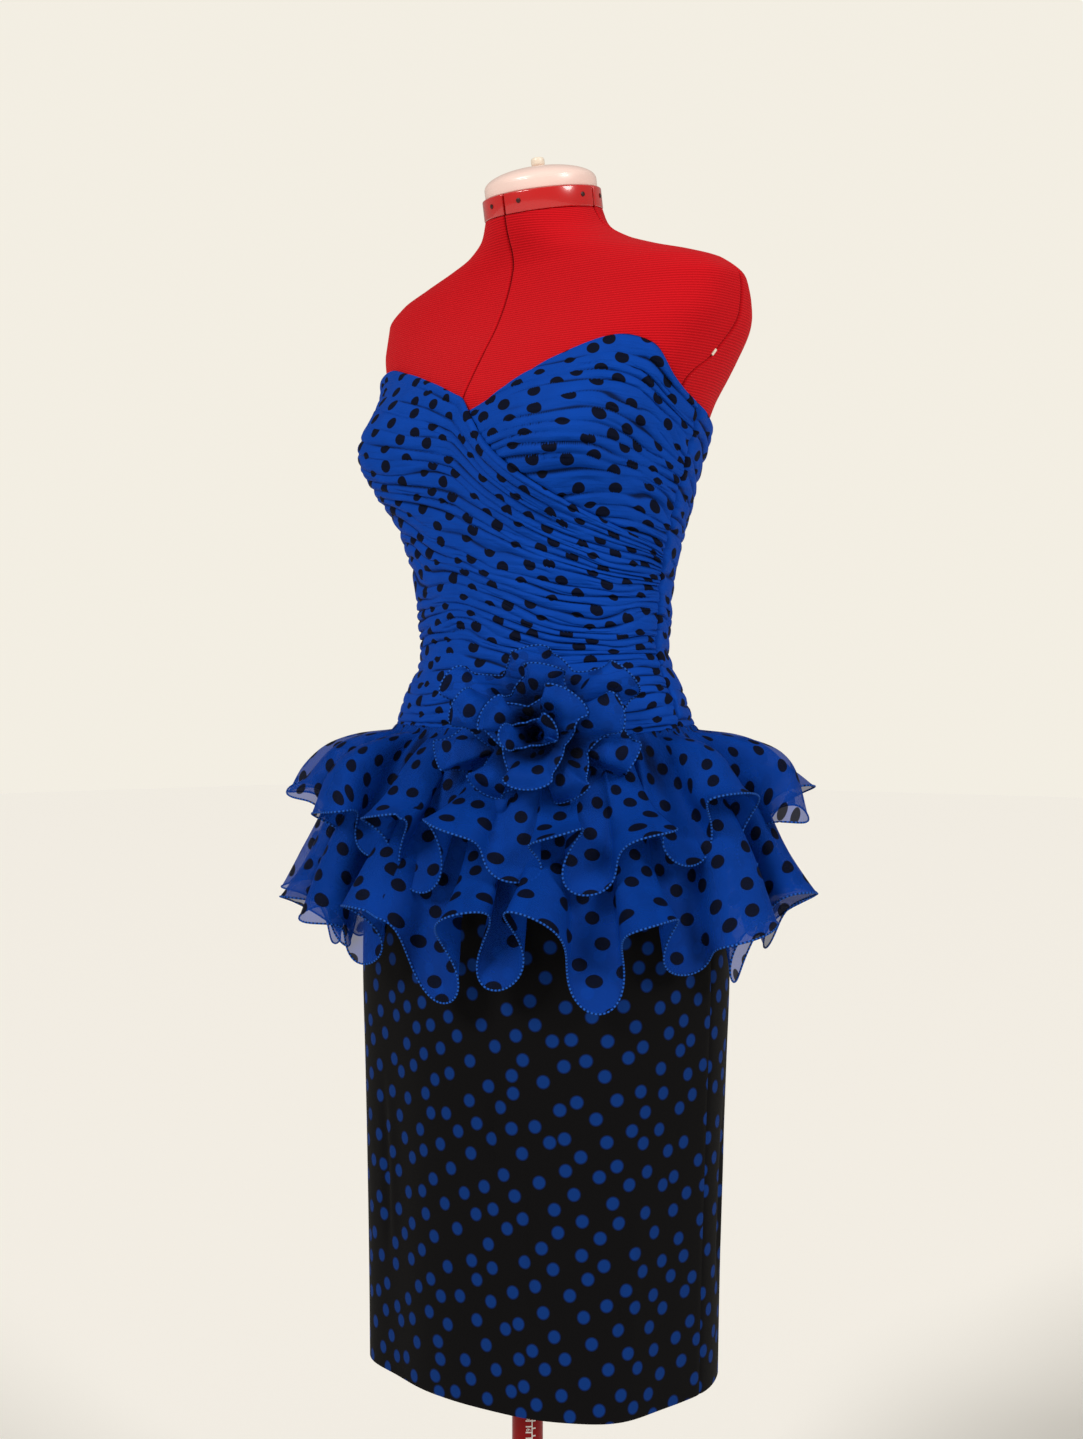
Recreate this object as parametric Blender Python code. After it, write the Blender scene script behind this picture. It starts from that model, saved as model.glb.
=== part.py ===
"""Party dress on a limbless dress form.

A strapless cocktail dress stands on a knit-covered form with a neck cap, a pole and a
round base. The bodice is closely ruched, with a front that wraps over one cup; two
ruffled peplum tiers and a rosette sit at its lower seam, over a straight skirt.

Frame: metres, +Z up, the front faces -Y, the wearer's left is +X, and the origin is at
the centre of the base, on the floor. Angles round the body are in degrees, from the
front centre (0) towards the wearer's left side (90), the back (180) and the right (-90).
"""

import math
from typing import NamedTuple

import bmesh
import bpy
from mathutils import Matrix, Vector

MM = 0.001

# Driving sizes of the stand
BASE_RADIUS = 0.190
BASE_THICKNESS = 0.018
HUB_RADIUS = 0.030
HUB_TOP = 0.070
POLE_RADIUS = 0.0135
POLE_FOOT = 0.0203
POLE_TOP = 0.850
SOCKET_FLOOR = 0.020
RUNNING_GAP = 0.0005
SEAT_GAP = 0.0003

# Driving sizes of the form
FORM_FOOT = 0.700
FORM_SOCKET_TOP = 1.020
NECK_FOOT = 1.353
NECK_TILT = 10.0
NECK_TILT_START = 1.300
BAND_HEIGHT = 0.018
BAND_WALL = 0.010
CAP_RADIUS = 0.0495
CAP_HEIGHT = 0.024
KNOB_RADIUS = 0.006
KNOB_HEIGHT = 0.008
BUST_ANGLE = 37.0
BUST_SPREAD = 23.0
BUST_HEIGHT = 1.142
BUST_RISE = 0.046
BUST_DEPTH = 0.031

# Driving sizes of the dress
HEM_HEIGHT = 0.350
HEM_DIP = 0.007
HEM_DIP_ANGLE = 55.0
HEM_DIP_SPREAD = 50.0
SEAM_HEIGHT = 0.908
SEAM_DIP = 0.010
SEAM_DIP_ANGLE = 42.0
SEAM_DIP_SPREAD = 48.0
SIDE_SEAM = 97.0
SEAM_GAP_ANGLE = 0.15
BODICE_INSIDE = 0.0028
CLOTH = 0.0012
PLEAT_RISE = 0.0026
WRAP_PLEATS = 24
CUP_PLEATS = 12
BACK_PLEATS = 20
CUP_LAST_START = 82.0
WRAP_EDGE_GAP = 0.0010
SKIRT_WALL = 0.0010
SKIRT_AT_SEAM = 0.0015
TIER_WALL = 0.0010
LOWER_TIER_AT_SEAM = 0.0034
UPPER_TIER_AT_SEAM = 0.0048
TIER_BELOW_SEAM = 0.0006
WAVES = 17
POINTS_A_WAVE = 6
WAVE_SWING = 7.0
ROSETTE_ANGLE = 36.0
ROSETTE_HEIGHT = 0.903
ROSETTE_TILT = 10.0
ROSETTE_OFF_SKIN = 0.0062
ROSETTE_FLATTEN = 0.86
PRESS_FULL = 30.0
PRESS_END = 52.0


class Section(NamedTuple):
    """One level outline, widest at y = widest; front and back are measured from the pole."""

    height: float
    half_width: float
    widest: float
    front: float
    back: float
    squareness: float


class Fold(NamedTuple):
    """One station down a ruffle, in millimetres: how far out and how far down from the seam."""

    out: float
    drop: float


FORM_SECTIONS = (
    Section(0.700, 0.158, 0.020, 0.102, 0.142, 2.2),
    Section(0.780, 0.163, 0.020, 0.106, 0.146, 2.2),
    Section(0.860, 0.149, 0.020, 0.095, 0.135, 2.1),
    Section(0.908, 0.137, 0.020, 0.086, 0.126, 2.0),
    Section(0.930, 0.131, 0.020, 0.080, 0.120, 2.0),
    Section(0.958, 0.118, 0.020, 0.069, 0.109, 2.0),
    Section(0.972, 0.115, 0.020, 0.067, 0.107, 2.0),
    Section(0.995, 0.117, 0.020, 0.068, 0.108, 2.0),
    Section(1.025, 0.1195, 0.019, 0.072, 0.111, 2.0),
    Section(1.065, 0.128, 0.018, 0.079, 0.118, 2.0),
    Section(1.110, 0.141, 0.018, 0.085, 0.128, 2.0),
    Section(1.150, 0.150, 0.020, 0.086, 0.136, 2.1),
    Section(1.180, 0.158, 0.023, 0.079, 0.137, 2.2),
    Section(1.200, 0.167, 0.025, 0.069, 0.136, 2.3),
    Section(1.220, 0.176, 0.028, 0.057, 0.132, 2.4),
    Section(1.250, 0.188, 0.032, 0.038, 0.120, 2.6),
    Section(1.276, 0.191, 0.035, 0.026, 0.102, 2.6),
    Section(1.292, 0.176, 0.035, 0.021, 0.088, 2.5),
    Section(1.303, 0.148, 0.033, 0.019, 0.080, 2.3),
    Section(1.313, 0.114, 0.030, 0.020, 0.074, 2.2),
    Section(1.324, 0.084, 0.027, 0.023, 0.071, 2.0),
    Section(1.338, 0.061, 0.024, 0.027, 0.071, 2.0),
    Section(1.353, 0.0515, 0.0215, 0.030, 0.073, 2.0),
)

SKIRT_SECTIONS = (
    Section(0.350, 0.157, 0.020, 0.108, 0.144, 2.4),
    Section(0.420, 0.159, 0.020, 0.109, 0.146, 2.35),
    Section(0.520, 0.163, 0.020, 0.110, 0.148, 2.3),
    Section(0.620, 0.168, 0.020, 0.112, 0.151, 2.25),
    Section(0.700, 0.171, 0.020, 0.113, 0.153, 2.25),
    Section(0.760, 0.171, 0.020, 0.113, 0.153, 2.2),
    Section(0.820, 0.163, 0.020, 0.106, 0.146, 2.15),
    Section(0.866, 0.1515, 0.020, 0.0975, 0.1375, 2.1),
)

# The neckline and the wrap's free edge, as (angle, height)
NECKLINE = (
    (0.0, 1.181),
    (12.0, 1.198),
    (26.0, 1.213),
    (44.0, 1.224),
    (60.0, 1.217),
    (80.0, 1.191),
    (97.0, 1.175),
    (140.0, 1.157),
    (180.0, 1.151),
)
WRAP_EDGE = (
    (0.0, 1.181),
    (8.0, 1.158),
    (16.0, 1.136),
    (29.0, 1.110),
    (50.0, 1.084),
    (72.0, 1.066),
    (97.0, 1.054),
)

BUST_RINGS = (1.045, 1.080, 1.095, 1.122, 1.136, 1.165)

# The angles of the front wrap's columns
WRAP_COLUMNS = (-97, -86, -75, -64, -55, *range(-48, 0, 7), 0, *range(6, 42, 7), 50, 60, 72, 84, 97)

UPPER_CREST = (Fold(0, 0), Fold(4, 5), Fold(38, 8), Fold(76, 22), Fold(99, 54))
UPPER_TROUGH = (Fold(0, 0), Fold(5, 8), Fold(18, 32), Fold(33, 72), Fold(46, 114))
UPPER_PRESSED = (Fold(0, 0), Fold(5, 8), Fold(16, 30), Fold(44, 58), Fold(84, 76))
LOWER_CREST = (Fold(0, 0), Fold(4, 8), Fold(34, 26), Fold(70, 66), Fold(92, 110), Fold(111, 146))
LOWER_TROUGH = (Fold(0, 0), Fold(4.5, 12), Fold(15, 42), Fold(28, 88), Fold(37, 146), Fold(41, 204))
LOWER_PRESSED = (Fold(0, 0), Fold(4.5, 12), Fold(14, 38), Fold(36, 80), Fold(68, 112), Fold(100, 142))

# Each rosette ring: waves, columns, wave height, then its (radius, height) profile, in mm
ROSETTE_RINGS = {
    "rosette_outer": (7, 42, 17.0, ((8.4, 1.0), (17.0, 8.0), (52.0, 21.0), (86.0, 31.0))),
    "rosette_middle": (5, 30, 13.0, ((7.2, 2.2), (12.0, 13.0), (34.0, 28.0), (64.0, 41.0))),
    "rosette_inner": (4, 24, 9.0, ((6.0, 3.4), (8.0, 17.0), (20.0, 34.0), (42.0, 50.0))),
    "rosette_bud": (3, 12, 4.0, ((4.5, 5.0), (5.2, 24.0), (9.0, 42.0), (16.0, 56.0))),
}

RED_KNIT = ("red_knit", (0.62, 0.01, 0.01), 0.85, 0.0)
RED_GLOSS = ("red_gloss", (0.55, 0.01, 0.01), 0.18, 0.0)
PALE_CAP = ("pale_cap", (0.86, 0.72, 0.70), 0.35, 0.0)
BLUE_CHIFFON = ("blue_chiffon", (0.01, 0.07, 0.50), 0.6, 0.0)
BLACK_SKIRT = ("black_skirt", (0.012, 0.012, 0.016), 0.6, 0.0)
DARK_BASE = ("dark_base", (0.05, 0.05, 0.055), 0.4, 0.3)


def clamp(value, low, high):
    """Keep a value between two limits."""
    return max(low, min(high, value))


def blend(a, b, share):
    """Go from a to b."""
    return a + (b - a) * share


def ease(share):
    """A soft step from 0 to 1."""
    share = clamp(share, 0.0, 1.0)
    return share * share * (3.0 - 2.0 * share)


def along(points, t):
    """Read a smooth curve through (t, value) points, which never swings past them."""
    if t <= points[0][0]:
        return points[0][1]
    if t >= points[-1][0]:
        return points[-1][1]
    slopes = [(b[1] - a[1]) / (b[0] - a[0]) for a, b in zip(points, points[1:])]
    tangents = [slopes[0]]
    for before, after in zip(slopes, slopes[1:]):
        same_way = before * after > 0.0
        tangents.append(2.0 * before * after / (before + after) if same_way else 0.0)
    tangents.append(slopes[-1])
    i = max(k for k in range(len(slopes)) if points[k][0] <= t)
    (t0, v0), (t1, v1) = points[i], points[i + 1]
    step = t1 - t0
    s = (t - t0) / step
    rise = v1 - v0
    before = (1.0 - s) * (tangents[i] * step - rise)
    after = s * (tangents[i + 1] * step - rise)
    return v0 + rise * s + s * (1.0 - s) * (before - after)


def section_at(sections, height):
    """The outline at a height, as a Section."""
    values = [along([(row.height, row[k]) for row in sections], height) for k in range(1, 6)]
    return Section(height, *values)


def signed_power(value, power):
    """Raise a value's size to a power and keep its sign."""
    return math.copysign(abs(value) ** power, value)


def outline_point(section, angle):
    """The point at an angle on a section's rounded outline."""
    turn = math.radians(angle)
    power = 2.0 / section.squareness
    across = signed_power(math.sin(turn), power)
    ahead = signed_power(math.cos(turn), power)
    depth = section.widest + section.front if ahead > 0.0 else section.back - section.widest
    return Vector((section.half_width * across, section.widest - depth * ahead, section.height))


def bust_rise(angle, height):
    """How far the two bust rounds stand out at an angle and height."""
    level = math.exp(-(((height - BUST_HEIGHT) / BUST_RISE) ** 2))
    offs = [angle - side * BUST_ANGLE for side in (-1, 1)]
    rounds = sum(math.exp(-((off / BUST_SPREAD) ** 2)) for off in offs)
    return BUST_DEPTH * level * rounds


def form_point(angle, height):
    """The point of the form's surface at an angle and height."""
    angle = (angle + 180.0) % 360.0 - 180.0
    section = section_at(FORM_SECTIONS, height)
    point = outline_point(section, angle)
    away = Vector((point.x, point.y - section.widest, 0.0)).normalized()
    point += away * bust_rise(angle, height)
    neck_share = ease((height - NECK_TILT_START) / (NECK_FOOT - NECK_TILT_START))
    lean = math.tan(math.radians(NECK_TILT)) * neck_share
    point.z += lean * (point.y - section.widest)
    return point


def skirt_point(angle, height):
    """The point of the skirt's outer surface; near the waist seam it follows the form."""
    lowest_fitted = SKIRT_SECTIONS[-1].height
    if height <= lowest_fitted:
        return outline_point(section_at(SKIRT_SECTIONS, height), angle)
    fitted = level_skin(angle, height, SKIRT_AT_SEAM + SKIRT_WALL)
    loose = outline_point(section_at(SKIRT_SECTIONS, lowest_fitted), angle)
    edge = level_skin(angle, lowest_fitted, SKIRT_AT_SEAM + SKIRT_WALL)
    ease_left = 1.0 - (height - lowest_fitted) / (seam_height(angle) - lowest_fitted)
    point = fitted + (loose - edge) * clamp(ease_left, 0.0, 1.0)
    point.z = height
    return point


def outward(surface, angle, height):
    """The unit normal of a surface given as a function of angle and height."""
    d_angle, d_height = 0.5, 0.001
    across = surface(angle + d_angle, height) - surface(angle - d_angle, height)
    up = surface(angle, height + d_height) - surface(angle, height - d_height)
    return across.cross(up).normalized()


def skin(angle, height, out):
    """A point at a distance from the form's surface."""
    return form_point(angle, height) + outward(form_point, angle, height) * out


def level_skin(angle, height, out):
    """A point at a level distance from the form's surface."""
    away = outward(form_point, angle, height)
    away.z = 0.0
    return form_point(angle, height) + away.normalized() * out


def seam_height(angle):
    """The height of the seam between bodice and peplum, which dips below the rosette."""
    off = (angle - SEAM_DIP_ANGLE + 180.0) % 360.0 - 180.0
    return SEAM_HEIGHT - SEAM_DIP * math.exp(-((off / SEAM_DIP_SPREAD) ** 2))


def uneven(a, b):
    """A repeatable unevenness from -1 to 1, out of two indices."""
    return math.sin(a * 12.9898 + b * 4.1414 + 1.7) * math.cos(a * 3.317 - b * 0.731)


def add_face(mesh, corners):
    """Add a face, leaving out corners that repeat."""
    unique = []
    for corner in corners:
        if corner not in unique:
            unique.append(corner)
    if len(unique) > 2:
        mesh.faces.new(unique)


def sheet_faces(mesh, grid, closed):
    """Fill a grid of corners, rows by columns, with quads."""
    columns = len(grid[0])
    last = columns if closed else columns - 1
    for upper, lower in zip(grid, grid[1:]):
        for k in range(last):
            n = (k + 1) % columns
            add_face(mesh, (upper[k], upper[n], lower[n], lower[k]))


def rim_faces(mesh, outer, inner, closed=False):
    """Join two edges with different numbers of corners by their share of the way along."""
    if closed:
        outer = outer + outer[:1]
        inner = inner + inner[:1]
    i = j = 0
    while i < len(outer) - 1 or j < len(inner) - 1:
        next_outer = (i + 1) / (len(outer) - 1)
        next_inner = (j + 1) / (len(inner) - 1)
        if j == len(inner) - 1 or (i < len(outer) - 1 and next_outer <= next_inner):
            add_face(mesh, (outer[i], outer[i + 1], inner[j]))
            i += 1
        else:
            add_face(mesh, (outer[i], inner[j + 1], inner[j]))
            j += 1


def wall_mesh(outer_rows, inner_rows, closed):
    """A closed wall between an outer and an inner grid of points, which have the same ends."""
    mesh = bmesh.new()
    outer = [[mesh.verts.new(point) for point in row] for row in outer_rows]
    inner = [[mesh.verts.new(point) for point in row] for row in inner_rows]
    sheet_faces(mesh, outer, closed)
    sheet_faces(mesh, inner, closed)
    rim_faces(mesh, outer[0], inner[0], closed)
    rim_faces(mesh, outer[-1], inner[-1], closed)
    if not closed:
        rim_faces(mesh, [row[0] for row in outer], [row[0] for row in inner])
        rim_faces(mesh, [row[-1] for row in outer], [row[-1] for row in inner])
    return mesh


def stacked_mesh(rings):
    """A solid through level rings of points, closed flat at both ends."""
    mesh = bmesh.new()
    rows = [[mesh.verts.new(point) for point in ring] for ring in rings]
    sheet_faces(mesh, rows, True)
    mesh.faces.new(rows[0])
    mesh.faces.new(rows[-1])
    return mesh


def turned_mesh(profile, segments):
    """Turn a closed (radius, height) profile about Z; a point at radius 0 stays one point."""
    mesh = bmesh.new()
    rows = []
    for radius, height in profile:
        if radius == 0.0:
            rows.append([mesh.verts.new((0.0, 0.0, height))] * segments)
            continue
        turns = [math.tau * k / segments for k in range(segments)]
        ring = [(radius * math.sin(t), -radius * math.cos(t), height) for t in turns]
        rows.append([mesh.verts.new(corner) for corner in ring])
    if profile[0][0] > 0.0:
        rows.append(rows[0])
    sheet_faces(mesh, rows, True)
    return mesh


def material_for(finish):
    """One Principled material for a finish."""
    name, colour, roughness, metallic = finish
    material = bpy.data.materials.get(name)
    if material is None:
        material = bpy.data.materials.new(name)
        material.use_nodes = True
        shader = material.node_tree.nodes["Principled BSDF"]
        shader.inputs["Base Color"].default_value = (*colour, 1.0)
        shader.inputs["Roughness"].default_value = roughness
        shader.inputs["Metallic"].default_value = metallic
        material.diffuse_color = (*colour, 1.0)
    return material


def place(name, mesh, finish, sharp_angle=40.0):
    """Finish a mesh as a named object with its own material."""
    bmesh.ops.recalc_face_normals(mesh, faces=mesh.faces)
    data = bpy.data.meshes.new(name)
    mesh.to_mesh(data)
    mesh.free()
    data.shade_smooth()
    data.set_sharp_from_angle(angle=math.radians(sharp_angle))
    data.materials.append(material_for(finish))
    made = bpy.data.objects.new(name, data)
    bpy.context.collection.objects.link(made)
    return made


# The stand


def build_base():
    """The round base, with a hub that holds the foot of the pole."""
    bore = POLE_RADIUS + RUNNING_GAP
    edge = 0.004
    profile = (
        (0.0, 0.0),
        (BASE_RADIUS - edge, 0.0),
        (BASE_RADIUS, edge),
        (BASE_RADIUS, BASE_THICKNESS - edge),
        (BASE_RADIUS - edge, BASE_THICKNESS),
        (HUB_RADIUS + 0.010, BASE_THICKNESS + 0.006),
        (HUB_RADIUS, BASE_THICKNESS + 0.016),
        (HUB_RADIUS, HUB_TOP - edge),
        (HUB_RADIUS - edge, HUB_TOP),
        (bore, HUB_TOP),
        (bore, SOCKET_FLOOR),
        (0.0, SOCKET_FLOOR),
    )
    place("stand_base", turned_mesh(profile, 24), DARK_BASE)


def build_pole():
    """The pole, from the base's hub up into the form."""
    edge = 0.001
    profile = (
        (0.0, POLE_FOOT),
        (POLE_RADIUS, POLE_FOOT),
        (POLE_RADIUS, POLE_TOP - edge),
        (POLE_RADIUS - edge, POLE_TOP),
        (0.0, POLE_TOP),
    )
    place("pole", turned_mesh(profile, 24), RED_GLOSS)


# The form


def build_torso():
    """The body of the form, with a blind socket for the pole in its underside."""
    angles = [*range(-84, 84, 7), *range(84, 276, 16)]
    heights = sorted({row.height for row in FORM_SECTIONS} | set(BUST_RINGS))
    mesh = bmesh.new()
    rows = [[mesh.verts.new(form_point(angle, height)) for angle in angles] for height in heights]
    sheet_faces(mesh, rows, True)
    mesh.faces.new(rows[-1])
    bore = POLE_RADIUS + RUNNING_GAP
    turns = [math.radians(angle) for angle in angles]
    ring = [(bore * math.sin(t), -bore * math.cos(t)) for t in turns]
    mouth = [mesh.verts.new((x, y, FORM_FOOT)) for x, y in ring]
    floor = [mesh.verts.new((x, y, FORM_SOCKET_TOP)) for x, y in ring]
    sheet_faces(mesh, [rows[0], mouth, floor], True)
    mesh.faces.new(floor)
    place("torso", mesh, RED_KNIT)


def neck_frame():
    """The tilted frame of the neck, with its origin at the centre of the form's top."""
    centre = Vector((0.0, FORM_SECTIONS[-1].widest, NECK_FOOT))
    return Matrix.Translation(centre) @ Matrix.Rotation(math.radians(NECK_TILT), 4, "X")


def place_on_neck(name, profile, finish, segments):
    """A turned piece on the neck's own axis."""
    made = place(name, turned_mesh(profile, segments), finish)
    made.matrix_world = neck_frame()


def build_neck():
    """The band round the neck, the domed cap over it and the cap's knob."""
    neck_radius = FORM_SECTIONS[-1].half_width
    foot = SEAT_GAP
    top = foot + BAND_HEIGHT
    edge = 0.001
    band = (
        (neck_radius - BAND_WALL, foot),
        (neck_radius, foot),
        (neck_radius + edge, foot + edge),
        (neck_radius + edge, top - edge),
        (neck_radius, top),
        (neck_radius - BAND_WALL, top),
    )
    place_on_neck("neck_band", band, RED_GLOSS, 24)
    cap_foot = top + SEAT_GAP
    dome = [
        (0.0, cap_foot),
        (CAP_RADIUS - edge, cap_foot),
        (CAP_RADIUS, cap_foot + edge),
        (CAP_RADIUS, cap_foot + 0.010),
    ]
    for turn in (25.0, 45.0, 65.0, 80.0):
        reach = math.cos(math.radians(turn))
        rise = math.sin(math.radians(turn))
        dome.append((CAP_RADIUS * reach, cap_foot + 0.010 + (CAP_HEIGHT - 0.010) * rise))
    crown = cap_foot + CAP_HEIGHT
    dome.append((0.0, crown))
    place_on_neck("neck_cap", dome, PALE_CAP, 24)
    knob_foot = crown + SEAT_GAP
    knob = (
        (0.0, knob_foot),
        (KNOB_RADIUS * 0.7, knob_foot),
        (KNOB_RADIUS, knob_foot + KNOB_HEIGHT * 0.5),
        (KNOB_RADIUS * 0.7, knob_foot + KNOB_HEIGHT),
        (0.0, knob_foot + KNOB_HEIGHT),
    )
    place_on_neck("neck_knob", knob, PALE_CAP, 12)


# The bodice


def wrap_edge_height(angle):
    """The height of the wrap's free edge, straight between the wrap panel's columns."""
    columns = [c for c in WRAP_COLUMNS if c >= 0]
    for a, b in zip(columns, columns[1:]):
        if a <= angle <= b:
            share = (angle - a) / (b - a)
            return blend(along(WRAP_EDGE, a), along(WRAP_EDGE, b), share)
    return along(WRAP_EDGE, angle)


def neckline_height(angle):
    """The height of the neckline, alike on both sides."""
    return along(NECKLINE, abs(angle))


def pleat_out(row, column):
    """How far a bodice row stands off the form: odd rows are crests, even rows troughs."""
    trough = BODICE_INSIDE + CLOTH
    if row % 2 == 0:
        return trough
    return trough + PLEAT_RISE * (0.80 + 0.20 * uneven(row, column * 0.9))


def pleated_panel(name, place_at, rows, columns, inner_step):
    """A wall whose outer points are pleated over a plain inside.

    place_at gives the angle and height of a row and column, and the inside has a row
    for each inner_step outer rows.
    """
    outer = []
    inner = []
    for r in range(rows + 1):
        spots = [place_at(r, c) for c in range(columns + 1)]
        edge_row = r in (0, rows)
        outs = [BODICE_INSIDE + CLOTH if edge_row else pleat_out(r, c) for c in range(columns + 1)]
        outer.append([skin(angle, height, out) for (angle, height), out in zip(spots, outs)])
        if r % inner_step == 0 or r == rows:
            inner.append([skin(angle, height, BODICE_INSIDE) for angle, height in spots])
    place(name, wall_mesh(outer, inner, False), BLUE_CHIFFON)


def row_share(row, rows, column):
    """Where a row lies between the panel's edges, a little unevenly."""
    share = row / rows
    sway = 0.30 * uneven(row // 2, column * 0.22) * math.sin(math.pi * share)
    return clamp(share + sway / rows, 0.0, 1.0)


def build_front():
    """The wrapped front, and the left cup that shows above its edge."""
    rows = 2 * WRAP_PLEATS

    def wrap_spot(row, column):
        angle = float(WRAP_COLUMNS[column])
        limit = SIDE_SEAM - SEAM_GAP_ANGLE
        angle = clamp(angle, -limit, limit)
        top = neckline_height(angle) if angle <= 0.0 else wrap_edge_height(angle)
        bottom = seam_height(angle) + SEAT_GAP
        return angle, blend(top, bottom, row_share(row, rows, column))

    pleated_panel("bodice_front_wrap", wrap_spot, rows, len(WRAP_COLUMNS) - 1, 3)

    cup_rows = 2 * CUP_PLEATS
    columns = 13

    def cup_spot(row, column):
        share = row / cup_rows
        start = blend(2.0, CUP_LAST_START, share)
        end = SIDE_SEAM - SEAM_GAP_ANGLE
        s = column / columns
        angle = blend(start, end, s)
        top = neckline_height(angle)
        bottom = wrap_edge_height(angle) + WRAP_EDGE_GAP
        climb = 1.0 + 9.0 * (1.0 - share) ** 2
        risen = 1.0 - (1.0 - s) ** climb
        depth = 1.0 - (1.0 - share) * risen
        if row == 0:
            depth = 0.0
        return angle, blend(top, bottom, depth)

    pleated_panel("bodice_front_cup", cup_spot, cup_rows, columns, 2)


def build_back(name, side):
    """One half of the bodice's back, from the side seam to the closing at the back."""
    rows = 2 * BACK_PLEATS
    columns = 7

    def back_spot(row, column):
        share = column / columns
        angle = blend(SIDE_SEAM + SEAM_GAP_ANGLE, 180.0 - SEAM_GAP_ANGLE, share)
        top = neckline_height(angle)
        bottom = seam_height(side * angle) + SEAT_GAP
        return side * angle, blend(top, bottom, row_share(row, rows, column * 1.3 + side))

    pleated_panel(name, back_spot, rows, columns, 4)


# The peplum


def wave_turn(angle):
    """The turn within the ruffle's waves at an angle, in radians; the waves vary in width."""
    turn = math.radians(angle)
    return WAVES * turn + 0.55 * math.sin(2.0 * turn + 0.6) + 0.40 * math.sin(5.0 * turn + 2.1)


def wave_size(angle):
    """How large the waves are at an angle round the body."""
    turn = math.radians(angle)
    return 0.90 + 0.07 * math.sin(3.0 * turn + 0.4) + 0.05 * math.sin(7.0 * turn + 1.3)


def pressed(angle):
    """How far the rosette presses the ruffle down at an angle, from 0 to 1."""
    off = abs((angle - ROSETTE_ANGLE + 180.0) % 360.0 - 180.0)
    return 1.0 - ease((off - PRESS_FULL) / (PRESS_END - PRESS_FULL))


def fold_at(folds, share):
    """A station on a fold's profile by its share of the stations."""
    stations = range(len(folds))
    top = len(folds) - 1
    out = along([(k / top, folds[k].out) for k in stations], share)
    drop = along([(k / top, folds[k].drop) for k in stations], share)
    return Fold(out, drop)


def tier_point(angle, share, tables, at_seam):
    """A point midway through a tier's wall, at an angle and a share of the way to its hem."""
    crest, trough, flat = (fold_at(folds, share) for folds in tables)
    press = pressed(angle)
    high = Fold(blend(crest.out, flat.out, press), blend(crest.drop, flat.drop, press))
    turn = wave_turn(angle)
    crestness = (0.5 + 0.5 * math.cos(turn)) * wave_size(angle)
    out = blend(trough.out, high.out, crestness)
    drop = blend(trough.drop, high.drop, crestness)
    swing = WAVE_SWING * math.sin(2.0 * turn) * clamp(out / 90.0, 0.0, 1.0) * (1.0 - 0.6 * press)
    spot = angle + math.degrees(swing * MM / (0.12 + out * MM))
    foot = level_skin(spot, seam_height(spot) - TIER_BELOW_SEAM, at_seam)
    away = outward(form_point, spot, SEAM_HEIGHT)
    away.z = 0.0
    away.normalize()
    foot += away * out * MM
    foot.z -= drop * MM
    return foot


def build_tier(name, tables, at_seam):
    """One ruffled tier, a ring of cloth that is gathered at the seam."""
    columns = WAVES * POINTS_A_WAVE
    stations = len(tables[0]) - 1
    steps = [k / stations for k in range(stations + 1)]
    outer = []
    inner = []
    for share in steps:
        outer_row = []
        inner_row = []
        for k in range(columns):
            angle = 360.0 * k / columns

            def at(a, s):
                return tier_point(a, s, tables, at_seam)

            low = min(share, 1.0 - 0.01)
            across = at(angle + 0.4, share) - at(angle - 0.4, share)
            down = at(angle, low + 0.01) - at(angle, low)
            away = down.cross(across)
            if share == 0.0:
                away.z = 0.0
            away.normalize()
            middle = at(angle, share)
            outer_row.append(middle + away * TIER_WALL * 0.5)
            inner_row.append(middle - away * TIER_WALL * 0.5)
        outer.append(outer_row)
        inner.append(inner_row)
    place(name, wall_mesh(outer, inner, True), BLUE_CHIFFON)


# The rosette


def rosette_frame():
    """The rosette's frame: +Z points away from the body and +Y up."""
    centre = skin(ROSETTE_ANGLE, ROSETTE_HEIGHT, ROSETTE_OFF_SKIN)
    away = outward(form_point, ROSETTE_ANGLE, ROSETTE_HEIGHT)
    away.z = 0.0
    away.normalize()
    lift = math.radians(ROSETTE_TILT)
    axis = away * math.cos(lift) + Vector((0.0, 0.0, math.sin(lift)))
    right = Vector((0.0, 0.0, 1.0)).cross(axis).normalized()
    up = axis.cross(right)
    frame = Matrix((right, up, axis)).transposed().to_4x4()
    frame.translation = centre
    return frame


def build_rosette_ring(name, waves, columns, wave_height, profile):
    """One ring of petals: a flared, waved wall gathered at its centre."""
    frame = rosette_frame()
    edge = profile[-1][0]
    rows = []
    for radius, height in profile:
        grown = (radius / edge) ** 2
        row = []
        for k in range(columns):
            turn = math.tau * k / columns
            wave = 0.5 + 0.5 * math.sin(waves * turn + waves)
            reach = radius * (1.0 + 0.07 * grown * math.sin(waves * turn + waves + 1.2))
            across = reach * math.cos(turn)
            up = reach * math.sin(turn) * blend(1.0, ROSETTE_FLATTEN, grown)
            row.append(Vector((across, up, height + wave_height * grown * wave)) * MM)
        rows.append(row)
    outer = []
    inner = []
    for r, row in enumerate(rows):
        before = rows[max(r - 1, 0)]
        after = rows[min(r + 1, len(rows) - 1)]
        outer_row = []
        inner_row = []
        for k, point in enumerate(row):
            around = row[(k + 1) % columns] - row[k - 1]
            away = after[k] - before[k]
            face = away.cross(around).normalized()
            outer_row.append(frame @ (point + face * CLOTH * 0.5))
            inner_row.append(frame @ (point - face * CLOTH * 0.5))
        outer.append(outer_row)
        inner.append(inner_row)
    place(name, wall_mesh(outer, inner, True), BLUE_CHIFFON)


# The skirt


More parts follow.
